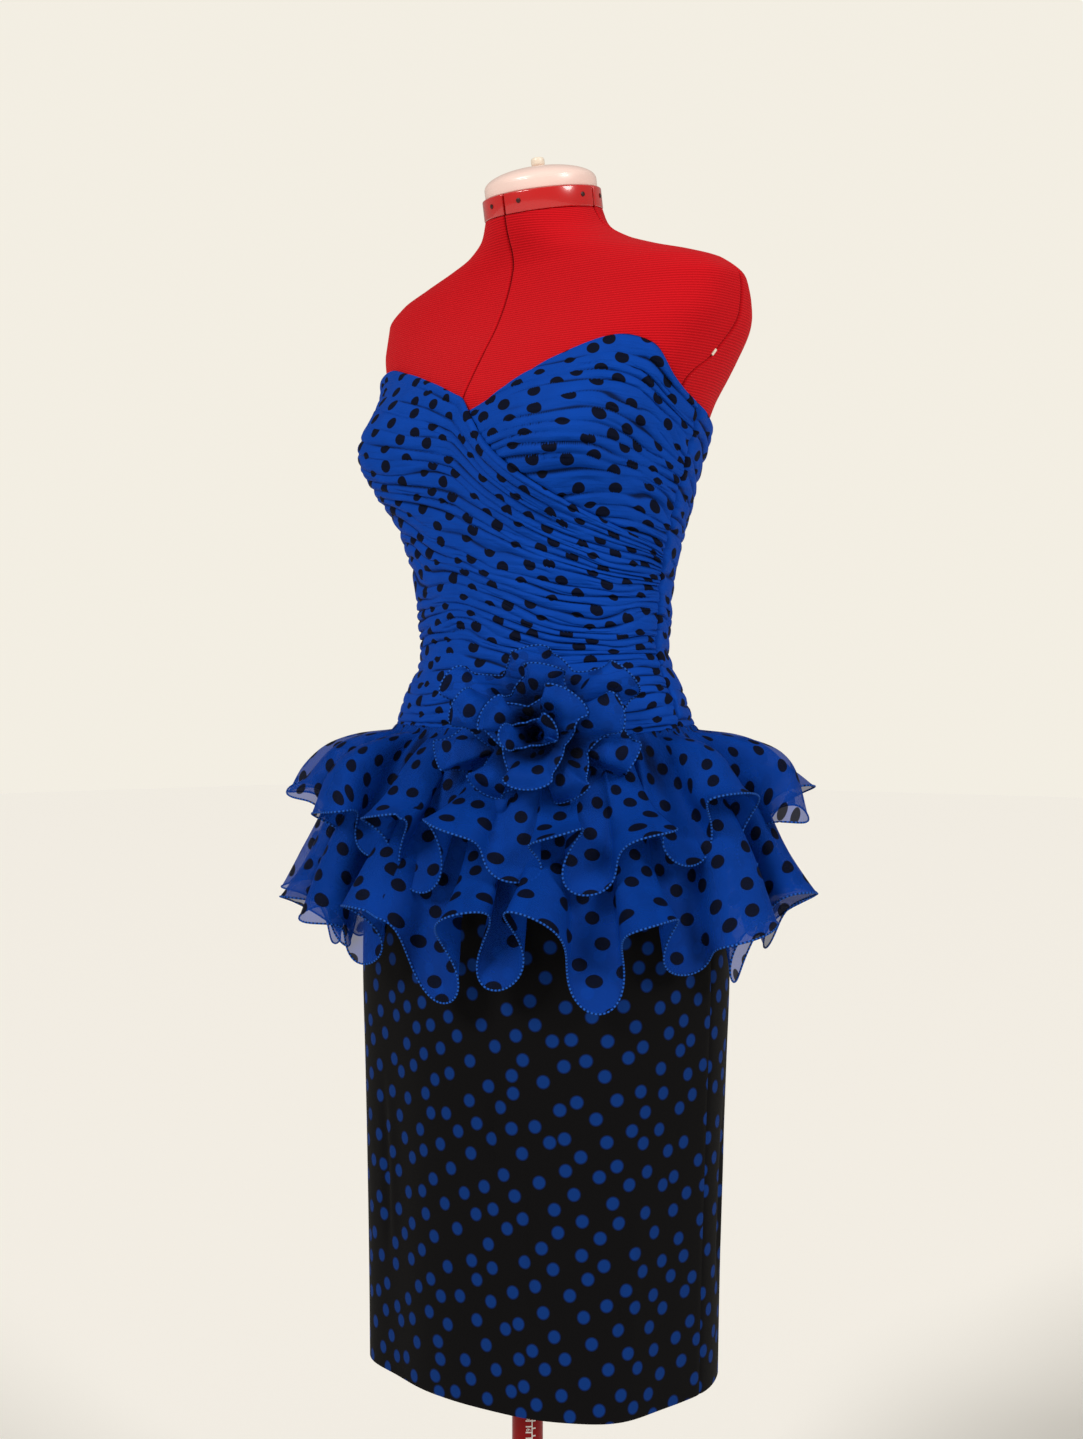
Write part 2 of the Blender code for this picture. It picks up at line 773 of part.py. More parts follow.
def hem_height(angle):
    """The height of the skirt's hem, which hangs a little lower at the left front."""
    off = (angle - HEM_DIP_ANGLE + 180.0) % 360.0 - 180.0
    return HEM_HEIGHT - HEM_DIP * math.exp(-((off / HEM_DIP_SPREAD) ** 2))


def skirt_crease(angle, height):
    """Soft vertical hollows that the straight skirt falls into towards its hem."""
    loose = ease((0.80 - height) / 0.30)
    turn = math.radians(angle)
    return 0.0016 * loose * (math.sin(7.0 * turn + 0.8) + 0.6 * math.sin(11.0 * turn + 2.0))


def build_skirt(name, first, last):
    """One half of the skirt, from one side seam to the other."""
    columns = 18
    shares = (0.0, 0.05, 0.11, 0.19, 0.29, 0.42, 0.58, 0.78, 1.0)
    outer = []
    inner = []
    for share in shares:
        outer_row = []
        inner_row = []
        for k in range(columns + 1):
            angle = blend(first, last, k / columns)
            height = blend(seam_height(angle) - TIER_BELOW_SEAM, hem_height(angle), share)
            away = outward(skirt_point, angle, height)
            away.z = 0.0
            away.normalize()
            point = skirt_point(angle, height) + away * skirt_crease(angle, height)
            outer_row.append(point)
            inner_row.append(point - away * SKIRT_WALL)
        outer.append(outer_row)
        inner.append(inner_row)
    place(name, wall_mesh(outer, inner, False), BLACK_SKIRT)


def main():
    """Clear the scene and build every piece."""
    for old in list(bpy.data.objects):
        bpy.data.objects.remove(old, do_unlink=True)
    build_base()
    build_pole()
    build_torso()
    build_neck()
    build_front()
    build_back("bodice_back_left", 1)
    build_back("bodice_back_right", -1)
    build_tier("peplum_upper", (UPPER_CREST, UPPER_TROUGH, UPPER_PRESSED), UPPER_TIER_AT_SEAM)
    build_tier("peplum_lower", (LOWER_CREST, LOWER_TROUGH, LOWER_PRESSED), LOWER_TIER_AT_SEAM)
    for name, ring in ROSETTE_RINGS.items():
        build_rosette_ring(name, *ring)
    side = SIDE_SEAM - SEAM_GAP_ANGLE
    build_skirt("skirt_front", -side, side)
    build_skirt("skirt_back", SIDE_SEAM + SEAM_GAP_ANGLE, 360.0 - SIDE_SEAM - SEAM_GAP_ANGLE)


main()
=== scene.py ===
"""Party dress on a limbless dress form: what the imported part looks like.

Every cloth piece is a thin shell on the form of its solid, at a finer resolution, and
the hard pieces carry the form's splits, screws and printed scale. Metres, +Z up, the
front faces -Y, the wearer's left is +X. Angles round the body are in degrees from the
front centre (0) towards the wearer's left side (90), the back (180) and the right (-90).
"""

import logging
import math
from dataclasses import dataclass, field
from enum import Enum
from typing import Callable, ClassVar, Sequence

import bpy
import numpy as np
from mathutils import Matrix, Vector


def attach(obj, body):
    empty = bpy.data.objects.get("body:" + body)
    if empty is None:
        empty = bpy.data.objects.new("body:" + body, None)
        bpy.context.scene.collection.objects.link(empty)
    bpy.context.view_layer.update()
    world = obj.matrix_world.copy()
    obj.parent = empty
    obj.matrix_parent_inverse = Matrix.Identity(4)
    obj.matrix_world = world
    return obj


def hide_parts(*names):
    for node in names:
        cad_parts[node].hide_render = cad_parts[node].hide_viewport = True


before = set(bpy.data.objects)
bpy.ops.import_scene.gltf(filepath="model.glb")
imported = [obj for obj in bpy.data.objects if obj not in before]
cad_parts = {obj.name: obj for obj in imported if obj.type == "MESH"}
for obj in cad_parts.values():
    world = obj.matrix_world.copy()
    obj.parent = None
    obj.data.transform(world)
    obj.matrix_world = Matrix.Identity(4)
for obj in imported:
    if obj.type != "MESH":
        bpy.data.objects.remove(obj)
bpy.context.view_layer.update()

logging.basicConfig(level=logging.INFO, format="%(message)s")
log = logging.getLogger("dress")

MM = 0.001
Array = np.ndarray
Object = bpy.types.Object
Material = bpy.types.Material


# Curves and surfaces


@dataclass(frozen=True)
class SmoothCurve:
    """A smooth curve through (t, value) points that never swings past them."""

    points: tuple

    def __call__(self, t: Array) -> Array:
        """Read the curve.

        Args:
            t: Where to read it, one number or an array.

        Returns:
            The values there; beyond its ends the curve is level.
        """
        xs = np.array([p[0] for p in self.points], float)
        ys = np.array([p[1] for p in self.points], float)
        slopes = np.diff(ys) / np.diff(xs)
        same_way = slopes[:-1] * slopes[1:] > 0.0
        total = np.where(same_way, slopes[:-1] + slopes[1:], 1.0)
        middle = np.where(same_way, 2.0 * slopes[:-1] * slopes[1:] / total, 0.0)
        tangents = np.concatenate((slopes[:1], middle, slopes[-1:]))
        t = np.clip(np.asarray(t, float), xs[0], xs[-1])
        i = np.clip(np.searchsorted(xs, t, side="right") - 1, 0, len(slopes) - 1)
        step = xs[i + 1] - xs[i]
        s = (t - xs[i]) / step
        rise = ys[i + 1] - ys[i]
        before = (1.0 - s) * (tangents[i] * step - rise)
        after = s * (tangents[i + 1] * step - rise)
        return ys[i] + rise * s + s * (1.0 - s) * (before - after)


def blend(a: Array, b: Array, share: Array) -> Array:
    """Go from a to b."""
    return a + (b - a) * share


def ease(share: Array) -> Array:
    """A soft step from 0 to 1."""
    share = np.clip(share, 0.0, 1.0)
    return share * share * (3.0 - 2.0 * share)


def bump(distance: Array, width: float) -> Array:
    """A soft rounded bump, 1 at no distance."""
    return np.exp(-((distance / width) ** 2))


def wrapped(angle: Array) -> Array:
    """An angle in degrees, brought to between -180 and 180."""
    return (np.asarray(angle, float) + 180.0) % 360.0 - 180.0


def stack(x: Array, y: Array, z: Array) -> Array:
    """Points out of their three coordinates."""
    return np.stack(np.broadcast_arrays(x, y, z), axis=-1)


def unit(vectors: Array) -> Array:
    """The vectors at length 1."""
    length = np.linalg.norm(vectors, axis=-1, keepdims=True)
    return vectors / np.maximum(length, 1e-12)


def level(vectors: Array) -> Array:
    """The vectors' level directions, at length 1."""
    return unit(vectors * np.array([1.0, 1.0, 0.0]))


def waver(a: Array, b: Array, seed: float = 0.0) -> Array:
    """A smooth, repeatable unevenness of about -1 to 1 out of two coordinates."""
    first = np.sin(a * 1.00 + 1.3 * np.sin(b * 0.71 + seed) + seed * 2.1)
    second = np.sin(b * 1.17 - 1.1 * np.sin(a * 0.53 - seed * 1.7) + 0.6 * seed)
    third = np.sin(a * 0.37 - b * 0.61 + 3.1 * seed)
    return (first + second + third) / 2.4


def read_line(line: tuple, share: Array) -> list[Array]:
    """Each column of a line's evenly spaced stations, at shares of the way along it."""
    top = len(line) - 1
    columns = [tuple((k / top, station[c]) for k, station in enumerate(line)) for c in (0, 1)]
    return [SmoothCurve(column)(share) for column in columns]


def looped(values: Sequence, place: Array) -> Array:
    """Values that repeat, read smoothly at a place counted in values."""
    count = len(values)
    points = tuple((float(k), float(values[k % count])) for k in range(-1, count + 2))
    return SmoothCurve(points)(place % count)


def net(rows: int, columns: int, first: float = 0.0, last: float = 1.0) -> tuple[Array, Array]:
    """Shares of the way down, and values across from first to last, of each point of a grid."""
    down, across = np.linspace(0.0, 1.0, rows), np.linspace(first, last, columns)
    return tuple(np.meshgrid(down, across, indexing="ij"))


def lengths(points: Array, axis: int) -> Array:
    """The length along the surface up to each point of a grid, down it (0) or across it (1)."""
    start = points[:, :1] if axis else points[:1]
    return np.cumsum(np.linalg.norm(np.diff(points, axis=axis, prepend=start), axis=-1), axis=axis)


def quads(rows: int, sides: int, last_row: int, last_side: int) -> tuple[list, Array]:
    """The corners and the faces of a grid of points.

    Args:
        rows: How many rows of points there are.
        sides: How many points a row has.
        last_row: How many rows of faces there are.
        last_side: How many faces a row has.

    Returns:
        The four corners' rows and places, not brought round, and the faces' point numbers.
    """
    r, k = np.meshgrid(np.arange(last_row), np.arange(last_side), indexing="ij")
    corners = [(r, k), (r, k + 1), (r + 1, k + 1), (r + 1, k)]
    faces = np.stack([a % rows * sides + b % sides for a, b in corners], axis=-1).reshape(-1, 4)
    return corners, faces


@dataclass(frozen=True)
class Sections:
    """Level outlines: height, half width, widest line's y, front and back depth, squareness."""

    rows: tuple

    def point(self, angle: Array, height: Array) -> Array:
        """The points at angles on the rounded outlines at heights.

        Args:
            angle: Angles round the outline, in degrees.
            height: Heights, in metres.

        Returns:
            The points, as an array with a last axis of 3.
        """
        half, widest, front, back, square = (self.read(k, height) for k in range(1, 6))
        turn = np.radians(angle)
        across = np.sign(np.sin(turn)) * np.abs(np.sin(turn)) ** (2.0 / square)
        ahead = np.sign(np.cos(turn)) * np.abs(np.cos(turn)) ** (2.0 / square)
        depth = np.where(ahead > 0.0, widest + front, back - widest)
        return stack(half * across, widest - depth * ahead, height)

    def read(self, column: int, height: Array) -> Array:
        """One of the table's columns at heights."""
        return SmoothCurve(tuple((row[0], row[column]) for row in self.rows))(height)


def normals(surface: Callable, angle: Array, height: Array) -> Array:
    """The unit normals of a surface that is given by angle and height."""
    across = surface(angle + 0.5, height) - surface(angle - 0.5, height)
    up = surface(angle, height + MM) - surface(angle, height - MM)
    return unit(np.cross(across, up))


@dataclass(frozen=True)
class FormSurface:
    """The outside of the dress form, below its neck band."""

    sections: Sections = Sections((
        (0.700, 0.158, 0.020, 0.102, 0.142, 2.2),
        (0.780, 0.163, 0.020, 0.106, 0.146, 2.2),
        (0.860, 0.149, 0.020, 0.095, 0.135, 2.1),
        (0.908, 0.137, 0.020, 0.086, 0.126, 2.0),
        (0.930, 0.131, 0.020, 0.080, 0.120, 2.0),
        (0.958, 0.118, 0.020, 0.069, 0.109, 2.0),
        (0.972, 0.115, 0.020, 0.067, 0.107, 2.0),
        (0.995, 0.117, 0.020, 0.068, 0.108, 2.0),
        (1.025, 0.1195, 0.019, 0.072, 0.111, 2.0),
        (1.065, 0.128, 0.018, 0.079, 0.118, 2.0),
        (1.110, 0.141, 0.018, 0.085, 0.128, 2.0),
        (1.150, 0.150, 0.020, 0.086, 0.136, 2.1),
        (1.180, 0.158, 0.023, 0.079, 0.137, 2.2),
        (1.200, 0.167, 0.025, 0.069, 0.136, 2.3),
        (1.220, 0.176, 0.028, 0.057, 0.132, 2.4),
        (1.250, 0.188, 0.032, 0.038, 0.120, 2.6),
        (1.276, 0.191, 0.035, 0.026, 0.102, 2.6),
        (1.292, 0.176, 0.035, 0.021, 0.088, 2.5),
        (1.303, 0.148, 0.033, 0.019, 0.080, 2.3),
        (1.313, 0.114, 0.030, 0.020, 0.074, 2.2),
        (1.324, 0.084, 0.027, 0.023, 0.071, 2.0),
        (1.338, 0.061, 0.024, 0.027, 0.071, 2.0),
        (1.353, 0.0515, 0.0215, 0.030, 0.073, 2.0),
    ))
    bust_angle: float = 37.0
    bust_spread: float = 23.0
    bust_height: float = 1.142
    bust_rise: float = 0.046
    bust_depth: float = 0.031
    neck_foot: float = 1.353
    neck_tilt: float = 10.0
    neck_tilt_start: float = 1.300

    def point(self, angle: Array, height: Array) -> Array:
        """Points of the form's surface at angles and heights."""
        angle, height = np.broadcast_arrays(wrapped(angle), np.asarray(height, float))
        points = self.sections.point(angle, height)
        widest = self.sections.read(2, height)
        away = level(points - stack(0.0 * widest, widest, height))
        points = points + away * self.bust(angle, height)[..., None]
        rise = ease((height - self.neck_tilt_start) / (self.neck_foot - self.neck_tilt_start))
        points[..., 2] += math.tan(math.radians(self.neck_tilt)) * rise * (points[..., 1] - widest)
        return points

    def bust(self, angle: Array, height: Array) -> Array:
        """How far the two bust rounds stand out."""
        left = bump(angle - self.bust_angle, self.bust_spread)
        right = bump(angle + self.bust_angle, self.bust_spread)
        return self.bust_depth * bump(height - self.bust_height, self.bust_rise) * (left + right)

    def normal(self, angle: Array, height: Array) -> Array:
        """The surface's unit normals."""
        return normals(self.point, angle, height)

    def skin(self, angle: Array, height: Array, out: Array) -> Array:
        """Points at a distance from the surface."""
        return self.point(angle, height) + self.normal(angle, height) * np.asarray(out, float)[..., None]

    def level_skin(self, angle: Array, height: Array, out: Array) -> Array:
        """Points at a level distance from the surface."""
        away = level(self.normal(angle, height))
        return self.point(angle, height) + away * np.asarray(out, float)[..., None]

    def neck_frame(self) -> Matrix:
        """The tilted frame of the neck, at the centre of the form's top."""
        centre = Vector((0.0, self.sections.rows[-1][2], self.neck_foot))
        return Matrix.Translation(centre) @ Matrix.Rotation(math.radians(self.neck_tilt), 4, "X")


FORM = FormSurface()


# Meshes


def link(name: str, mesh: bpy.types.Mesh) -> Object:
    """A mesh as an object in the scene, at the origin."""
    made = bpy.data.objects.new(name, mesh)
    bpy.context.collection.objects.link(made)
    return made


@dataclass
class ClothGrid:
    """A grid of cloth points, rows by columns, with its place in the flat cloth in metres.

    Args:
        points: The points, rows x columns x 3.
        flat: Each point's (u, v) in the flat cloth; a closed grid has one column more.
        painted_shade: The painted shade at each point, from 0 to 1, in folds, recesses and splits.
        closed: Whether the last column joins the first.
        fold: The fold that each point is in, counted down the cloth, where folds hide cloth.
        jump: How much v grows at each hidden fold.
    """

    points: Array
    flat: Array
    painted_shade: Array
    closed: bool = False
    fold: Array | None = None
    jump: float = 0.0

    def build(self, name: str) -> Object:
        """The cloth as a smooth-shaded object with its UV map and its attribute of painted shade.

        Args:
            name: The object's name.

        Returns:
            The object, at the origin.
        """
        rows, columns = self.points.shape[:2]
        corners, faces = quads(rows, columns, rows - 1, columns if self.closed else columns - 1)
        mesh = bpy.data.meshes.new(name)
        mesh.from_pydata(self.points.reshape(-1, 3).tolist(), [], faces[:, ::-1].tolist())
        flat = np.stack([self.flat[a, b] for a, b in corners], axis=-2)
        if self.fold is not None:
            inside = np.floor((self.fold[:-1, :-1] + self.fold[1:, 1:]) / 2.0)
            flat[..., 1] += (inside * self.jump)[..., None]
        layer = mesh.uv_layers.new(name="cloth")
        layer.data.foreach_set("uv", flat.reshape(-1, 4, 2)[:, ::-1].ravel())
        # a point attribute of painted shade, by which the materials darken the colour
        mark = mesh.attributes.new("painted_shade", "FLOAT", "POINT")
        mark.data.foreach_set("value", np.clip(self.painted_shade, 0.0, 1.0).astype(np.float32).ravel())
        mesh.shade_smooth()
        return link(name, mesh)

    def area(self) -> float:
        """The surface of the grid in square metres."""
        p = np.concatenate((self.points, self.points[:, :1]), axis=1) if self.closed else self.points
        first = np.cross(p[1:, :-1] - p[:-1, :-1], p[:-1, 1:] - p[:-1, :-1])
        second = np.cross(p[:-1, 1:] - p[1:, 1:], p[1:, :-1] - p[1:, 1:])
        return float((np.linalg.norm(first, axis=-1) + np.linalg.norm(second, axis=-1)).sum() / 2.0)


@dataclass
class Cording:
    """A thin round thread along a closed line of points."""

    radius: float
    sides: int = 6

    def build(self, name: str, path: Array) -> Object:
        """The thread as a tube mesh, with its length along the path as u."""
        way = unit(np.roll(path, -1, axis=0) - np.roll(path, 1, axis=0))
        side = unit(np.cross(way, unit(path - path.mean(axis=0)) + np.array([0.0, 0.0, 0.01])))
        other = np.cross(way, side)
        turns = np.linspace(0.0, math.tau, self.sides, endpoint=False)[:, None]
        rings = path[:, None] + self.radius * (side[:, None] * np.cos(turns) + other[:, None] * np.sin(turns))
        length = np.concatenate(([0.0], np.cumsum(np.linalg.norm(np.diff(path, axis=0), axis=-1))))
        count = len(path)
        corners, faces = quads(count, self.sides, count, self.sides)
        mesh = bpy.data.meshes.new(name)
        mesh.from_pydata(rings.reshape(-1, 3).tolist(), [], faces.tolist())
        layer = mesh.uv_layers.new(name="cloth")
        flat = np.stack([np.stack((length[a % count], b / self.sides), axis=-1) for a, b in corners], axis=-2)
        layer.data.foreach_set("uv", flat.ravel())
        mesh.shade_smooth()
        return link(name, mesh)


# The dress's shared lines


@dataclass(frozen=True)
class DressLines:
    """The lines that the dress's pieces share: neckline, wrap edge, seams and hem."""

    neckline: SmoothCurve = SmoothCurve((
        (0.0, 1.181), (12.0, 1.198), (26.0, 1.213), (44.0, 1.224), (60.0, 1.217),
        (80.0, 1.191), (97.0, 1.175), (140.0, 1.157), (180.0, 1.151),
    ))
    wrap_edge: SmoothCurve = SmoothCurve((
        (0.0, 1.181), (8.0, 1.158), (16.0, 1.136), (29.0, 1.110), (50.0, 1.084), (72.0, 1.066), (97.0, 1.054),
    ))
    seam_level: float = 0.908
    seam_dip: float = 0.010
    seam_dip_angle: float = 42.0
    seam_dip_spread: float = 48.0
    side_seam: float = 97.0
    hem_level: float = 0.350
    hem_dip: float = 0.007
    hem_dip_angle: float = 55.0
    hem_dip_spread: float = 50.0

    def top(self, angle: Array) -> Array:
        """The neckline's height, alike on both sides."""
        return self.neckline(np.abs(wrapped(angle)))

    def seam(self, angle: Array) -> Array:
        """The height of the seam below the bodice, which dips below the rosette."""
        off = wrapped(angle - self.seam_dip_angle)
        return self.seam_level - self.seam_dip * bump(off, self.seam_dip_spread)

    def hem(self, angle: Array) -> Array:
        """The height of the skirt's hem, which hangs a little lower at the left front."""
        off = wrapped(angle - self.hem_dip_angle)
        return self.hem_level - self.hem_dip * bump(off, self.hem_dip_spread)


LINES = DressLines()


# The bodice


@dataclass(frozen=True)
class Ruching:
    """Close pleats in a lined chiffon panel: nearly flat cloth between narrow creases, which get painted
    shade.

    widths are the pleats' relative widths, top to bottom. wander and quiver are how far the
    creases stray, in pleats; above_reach and below_reach how far the hollow of each fold reaches
    into its pleat; hidden is the cloth in a fold, in metres.
    """

    widths: tuple
    rise: float = 0.0026
    droop: float = 0.60
    inside: float = 0.0034
    hidden: float = 0.0045
    wander: float = 1.05
    quiver: float = 0.20
    above_reach: float = 0.11
    below_reach: float = 0.21
    seed: float = 1.0

    def phase(self, share: Array) -> Array:
        """The pleat that each share of the way down lies in, with its fraction."""
        ends = np.concatenate(([0.0], np.cumsum(self.widths)))
        return np.interp(share, ends / ends[-1], np.arange(len(ends)))

    def depth(self, pleat: Array, run: Array) -> Array:
        """How deep the fold above a pleat is, at a run of degrees along it."""
        slow = waver(pleat * 2.3 + self.seed, run / 8.0 + pleat * 1.9, self.seed)
        quick = waver(pleat * 5.1, run / 3.1 + pleat * 0.7, self.seed + 2.0)
        return np.clip(0.62 + 0.62 * slow + 0.28 * quick, 0.0, 1.15)

    def relief(self, share: Array, run: Array) -> tuple[Array, Array, Array]:
        """The pleats' relief.

        Args:
            share: The way down the panel, from 0 to 1.
            run: The way along the pleats, in degrees.

        Returns:
            The height over the deepest creases, the painted shade in and beside the creases from 0 to 1, and
            the phase.
        """
        slow = waver(share * 17.0, run / 15.0, self.seed)
        quick = waver(share * 47.0, run / 5.5, self.seed + 4.0)
        calm = np.sin(np.pi * np.clip(share, 0.0, 1.0)) ** 0.5
        phase = self.phase(share) + (self.wander * slow + self.quiver * quick) * calm
        pleat = np.floor(phase)
        part = phase - pleat
        above = self.depth(pleat, run)
        below = self.depth(pleat + 1.0, run)
        slope = 0.30 * waver(pleat * 4.3, run / 9.0, self.seed + 8.0) * (2.0 * part - 1.0)
        dip = above * np.exp(-((part / self.above_reach) ** 1.1))
        dip = dip + below * np.exp(-(((1.0 - part) / self.below_reach) ** 1.2))
        middle = 0.30 + 0.26 * waver(pleat * 3.7, run / 6.5, self.seed + 6.0)
        fine = np.clip(waver(pleat * 7.7, run / 4.3 + pleat, self.seed + 7.0), 0.0, 1.0)
        small = 0.55 * fine * np.exp(-np.abs(part - middle - 0.15) / 0.07)
        size = 0.90 + 0.20 * waver(pleat * 1.7, run / 13.0, self.seed + 1.0)
        swell = 0.16 * np.sin(np.pi * part) + 0.05 * waver(phase * 6.0, run / 1.6, self.seed + 3.0)
        # dark is painted shade: darker colour in and beside the creases and on the small sub-pleats
        dark = above * np.exp(-part / 0.06) + below * np.exp(-(1.0 - part) / 0.11) + 0.6 * small
        return self.rise * np.clip(size - dip - small + swell + slope, 0.0, 1.5), dark, phase


class Panel(Enum):
    """The bodice's four panels, with their nodes' names."""

    WRAP = "bodice_front_wrap"
    CUP = "bodice_front_cup"
    BACK_LEFT = "bodice_back_left"
    BACK_RIGHT = "bodice_back_right"


@dataclass(frozen=True)
class BodicePanel:
    """One ruched panel of the bodice.

    level_top is the height where the wrap's first pleat would lie if it were level, and
    cup_foot where the cup's last pleat ends at the side. cup_inner has the angles of the
    cup's inner edge at its top and foot. The wrap's rolled lip fades out over lip_end.
    """

    panel: Panel
    ruching: Ruching
    rows: int
    columns: int
    under: float = 0.005
    level_top: float = 1.150
    cup_foot: float = 1.050
    cup_inner: tuple = (2.0, 82.0)
    tuck: float = 0.004
    pucker: float = 0.0014
    lip: float = 0.0026
    lip_end: tuple = (66.0, 90.0)

    def spot(self, share: Array, across: Array) -> tuple[Array, Array]:
        """The angle and height at a share of the way down and a share across the panel."""
        limit = LINES.side_seam
        if self.panel is Panel.WRAP:
            angle = blend(-limit, limit, across)
            top = np.where(angle <= 0.0, LINES.top(angle), LINES.wrap_edge(angle))
            return angle, blend(top, LINES.seam(angle) - self.under, share)
        if self.panel is Panel.CUP:
            angle = blend(blend(*self.cup_inner, share), limit, across)
            climb = 1.0 + 9.0 * (1.0 - share) ** 2
            down = 1.0 - (1.0 - share) * (1.0 - (1.0 - across) ** climb)
            return angle, blend(LINES.top(angle), LINES.wrap_edge(angle) - 0.006, down)
        side = 1.0 if self.panel is Panel.BACK_LEFT else -1.0
        across = across if side > 0.0 else 1.0 - across
        angle = side * blend(LINES.side_seam, 180.0, across)
        return angle, blend(LINES.top(angle), LINES.seam(angle) - self.under, share)

    def followed(self, share: Array, angle: Array, height: Array) -> Array:
        """The way down the pleats at each point, from 0 at the top pleat to 1 at the last."""
        if self.panel is Panel.CUP:
            side = float(LINES.top(np.array(LINES.side_seam)))
            arch = LINES.top(angle) - side
            return (side + arch - height) / (side - self.cup_foot + 0.75 * arch)
        if self.panel is not Panel.WRAP:
            return share
        found = np.empty_like(height)
        steps = np.linspace(0.0, 1.0, 81)
        for k in range(self.columns):
            top, seam = height[0, k], height[-1, k]
            lines = blend(self.level_top, seam, steps) + (top - self.level_top) * (1.0 - steps) ** 1.9
            found[:, k] = np.interp(-height[:, k], -lines, steps)
        return found

    def tucked(self, share: Array, angle: Array) -> Array:
        """How far the cloth stands out near its edges, from 0 at a sewn edge to 1."""
        _, height = self.spot(share, (angle - angle[:, :1]) / (angle[:, -1:] - angle[:, :1]))
        size = 0.27 if self.panel is not Panel.CUP else 0.12
        below = (1.0 - share) * size / self.tuck
        if self.panel is Panel.CUP:
            below = (height - LINES.wrap_edge(angle) + 0.001) / self.tuck
        full = np.clip(share * size / 0.0030, 0.0, 1.0) ** 0.5 * np.clip(below, 0.0, 1.0) ** 0.5
        seam = np.abs(np.abs(wrapped(angle)) - LINES.side_seam)
        centre = np.abs(180.0 - np.abs(wrapped(angle)))
        return full * np.clip(np.minimum(seam, centre) / 1.6, 0.0, 1.0) ** 0.5

    def grid(self) -> ClothGrid:
        """The panel's points, with pleats that droop a little over the creases below them."""
        share, across = net(self.rows, self.columns)
        angle, height = self.spot(share, across)
        # the relief's second value is the painted shade of the creases
        rise, painted_shade, phase = self.ruching.relief(self.followed(share, angle, height), angle)
        full = self.tucked(share, angle)
        near_seam = bump(np.abs(wrapped(angle)) - LINES.side_seam, 7.0)
        pucker = self.pucker * near_seam * waver(height * 420.0, angle / 2.6, 0.4)
        edge = 0.0022 if self.panel is Panel.WRAP else 0.0012
        out = blend(edge, self.ruching.inside, full) + (rise + pucker) * full
        if self.panel is Panel.WRAP:
            start, end = self.lip_end
            ended = ease((angle - start) / (end - start))
            out = out + self.lip * (bump(share * 0.14 / 0.0085, 1.0) * ease(angle / 5.0) * (1.0 - ended))
        normal = FORM.normal(angle, height)
        smooth = FORM.point(angle, height)
        points = smooth + normal * out[..., None]
        room = np.clip(np.minimum(share, 1.0 - share) * 0.27 / 0.006, 0.0, 1.0)
        points[..., 2] -= self.ruching.droop * rise * room
        run, down = self.flat_place(smooth, points)
        return ClothGrid(points, np.stack((run, down), axis=-1), painted_shade, fold=phase, jump=self.ruching.hidden)

    def flat_place(self, smooth: Array, points: Array) -> tuple[Array, Array]:
        """Each point's place in the flat cloth, along the level and downwards."""
        run = lengths(smooth[..., :2], 1)
        run = run - run[:, [self.columns // 2]]
        return run, 1.3 - smooth[..., 2] + 0.12 * lengths(points, 0) + 0.04 * self.ruching.seed


# The peplum


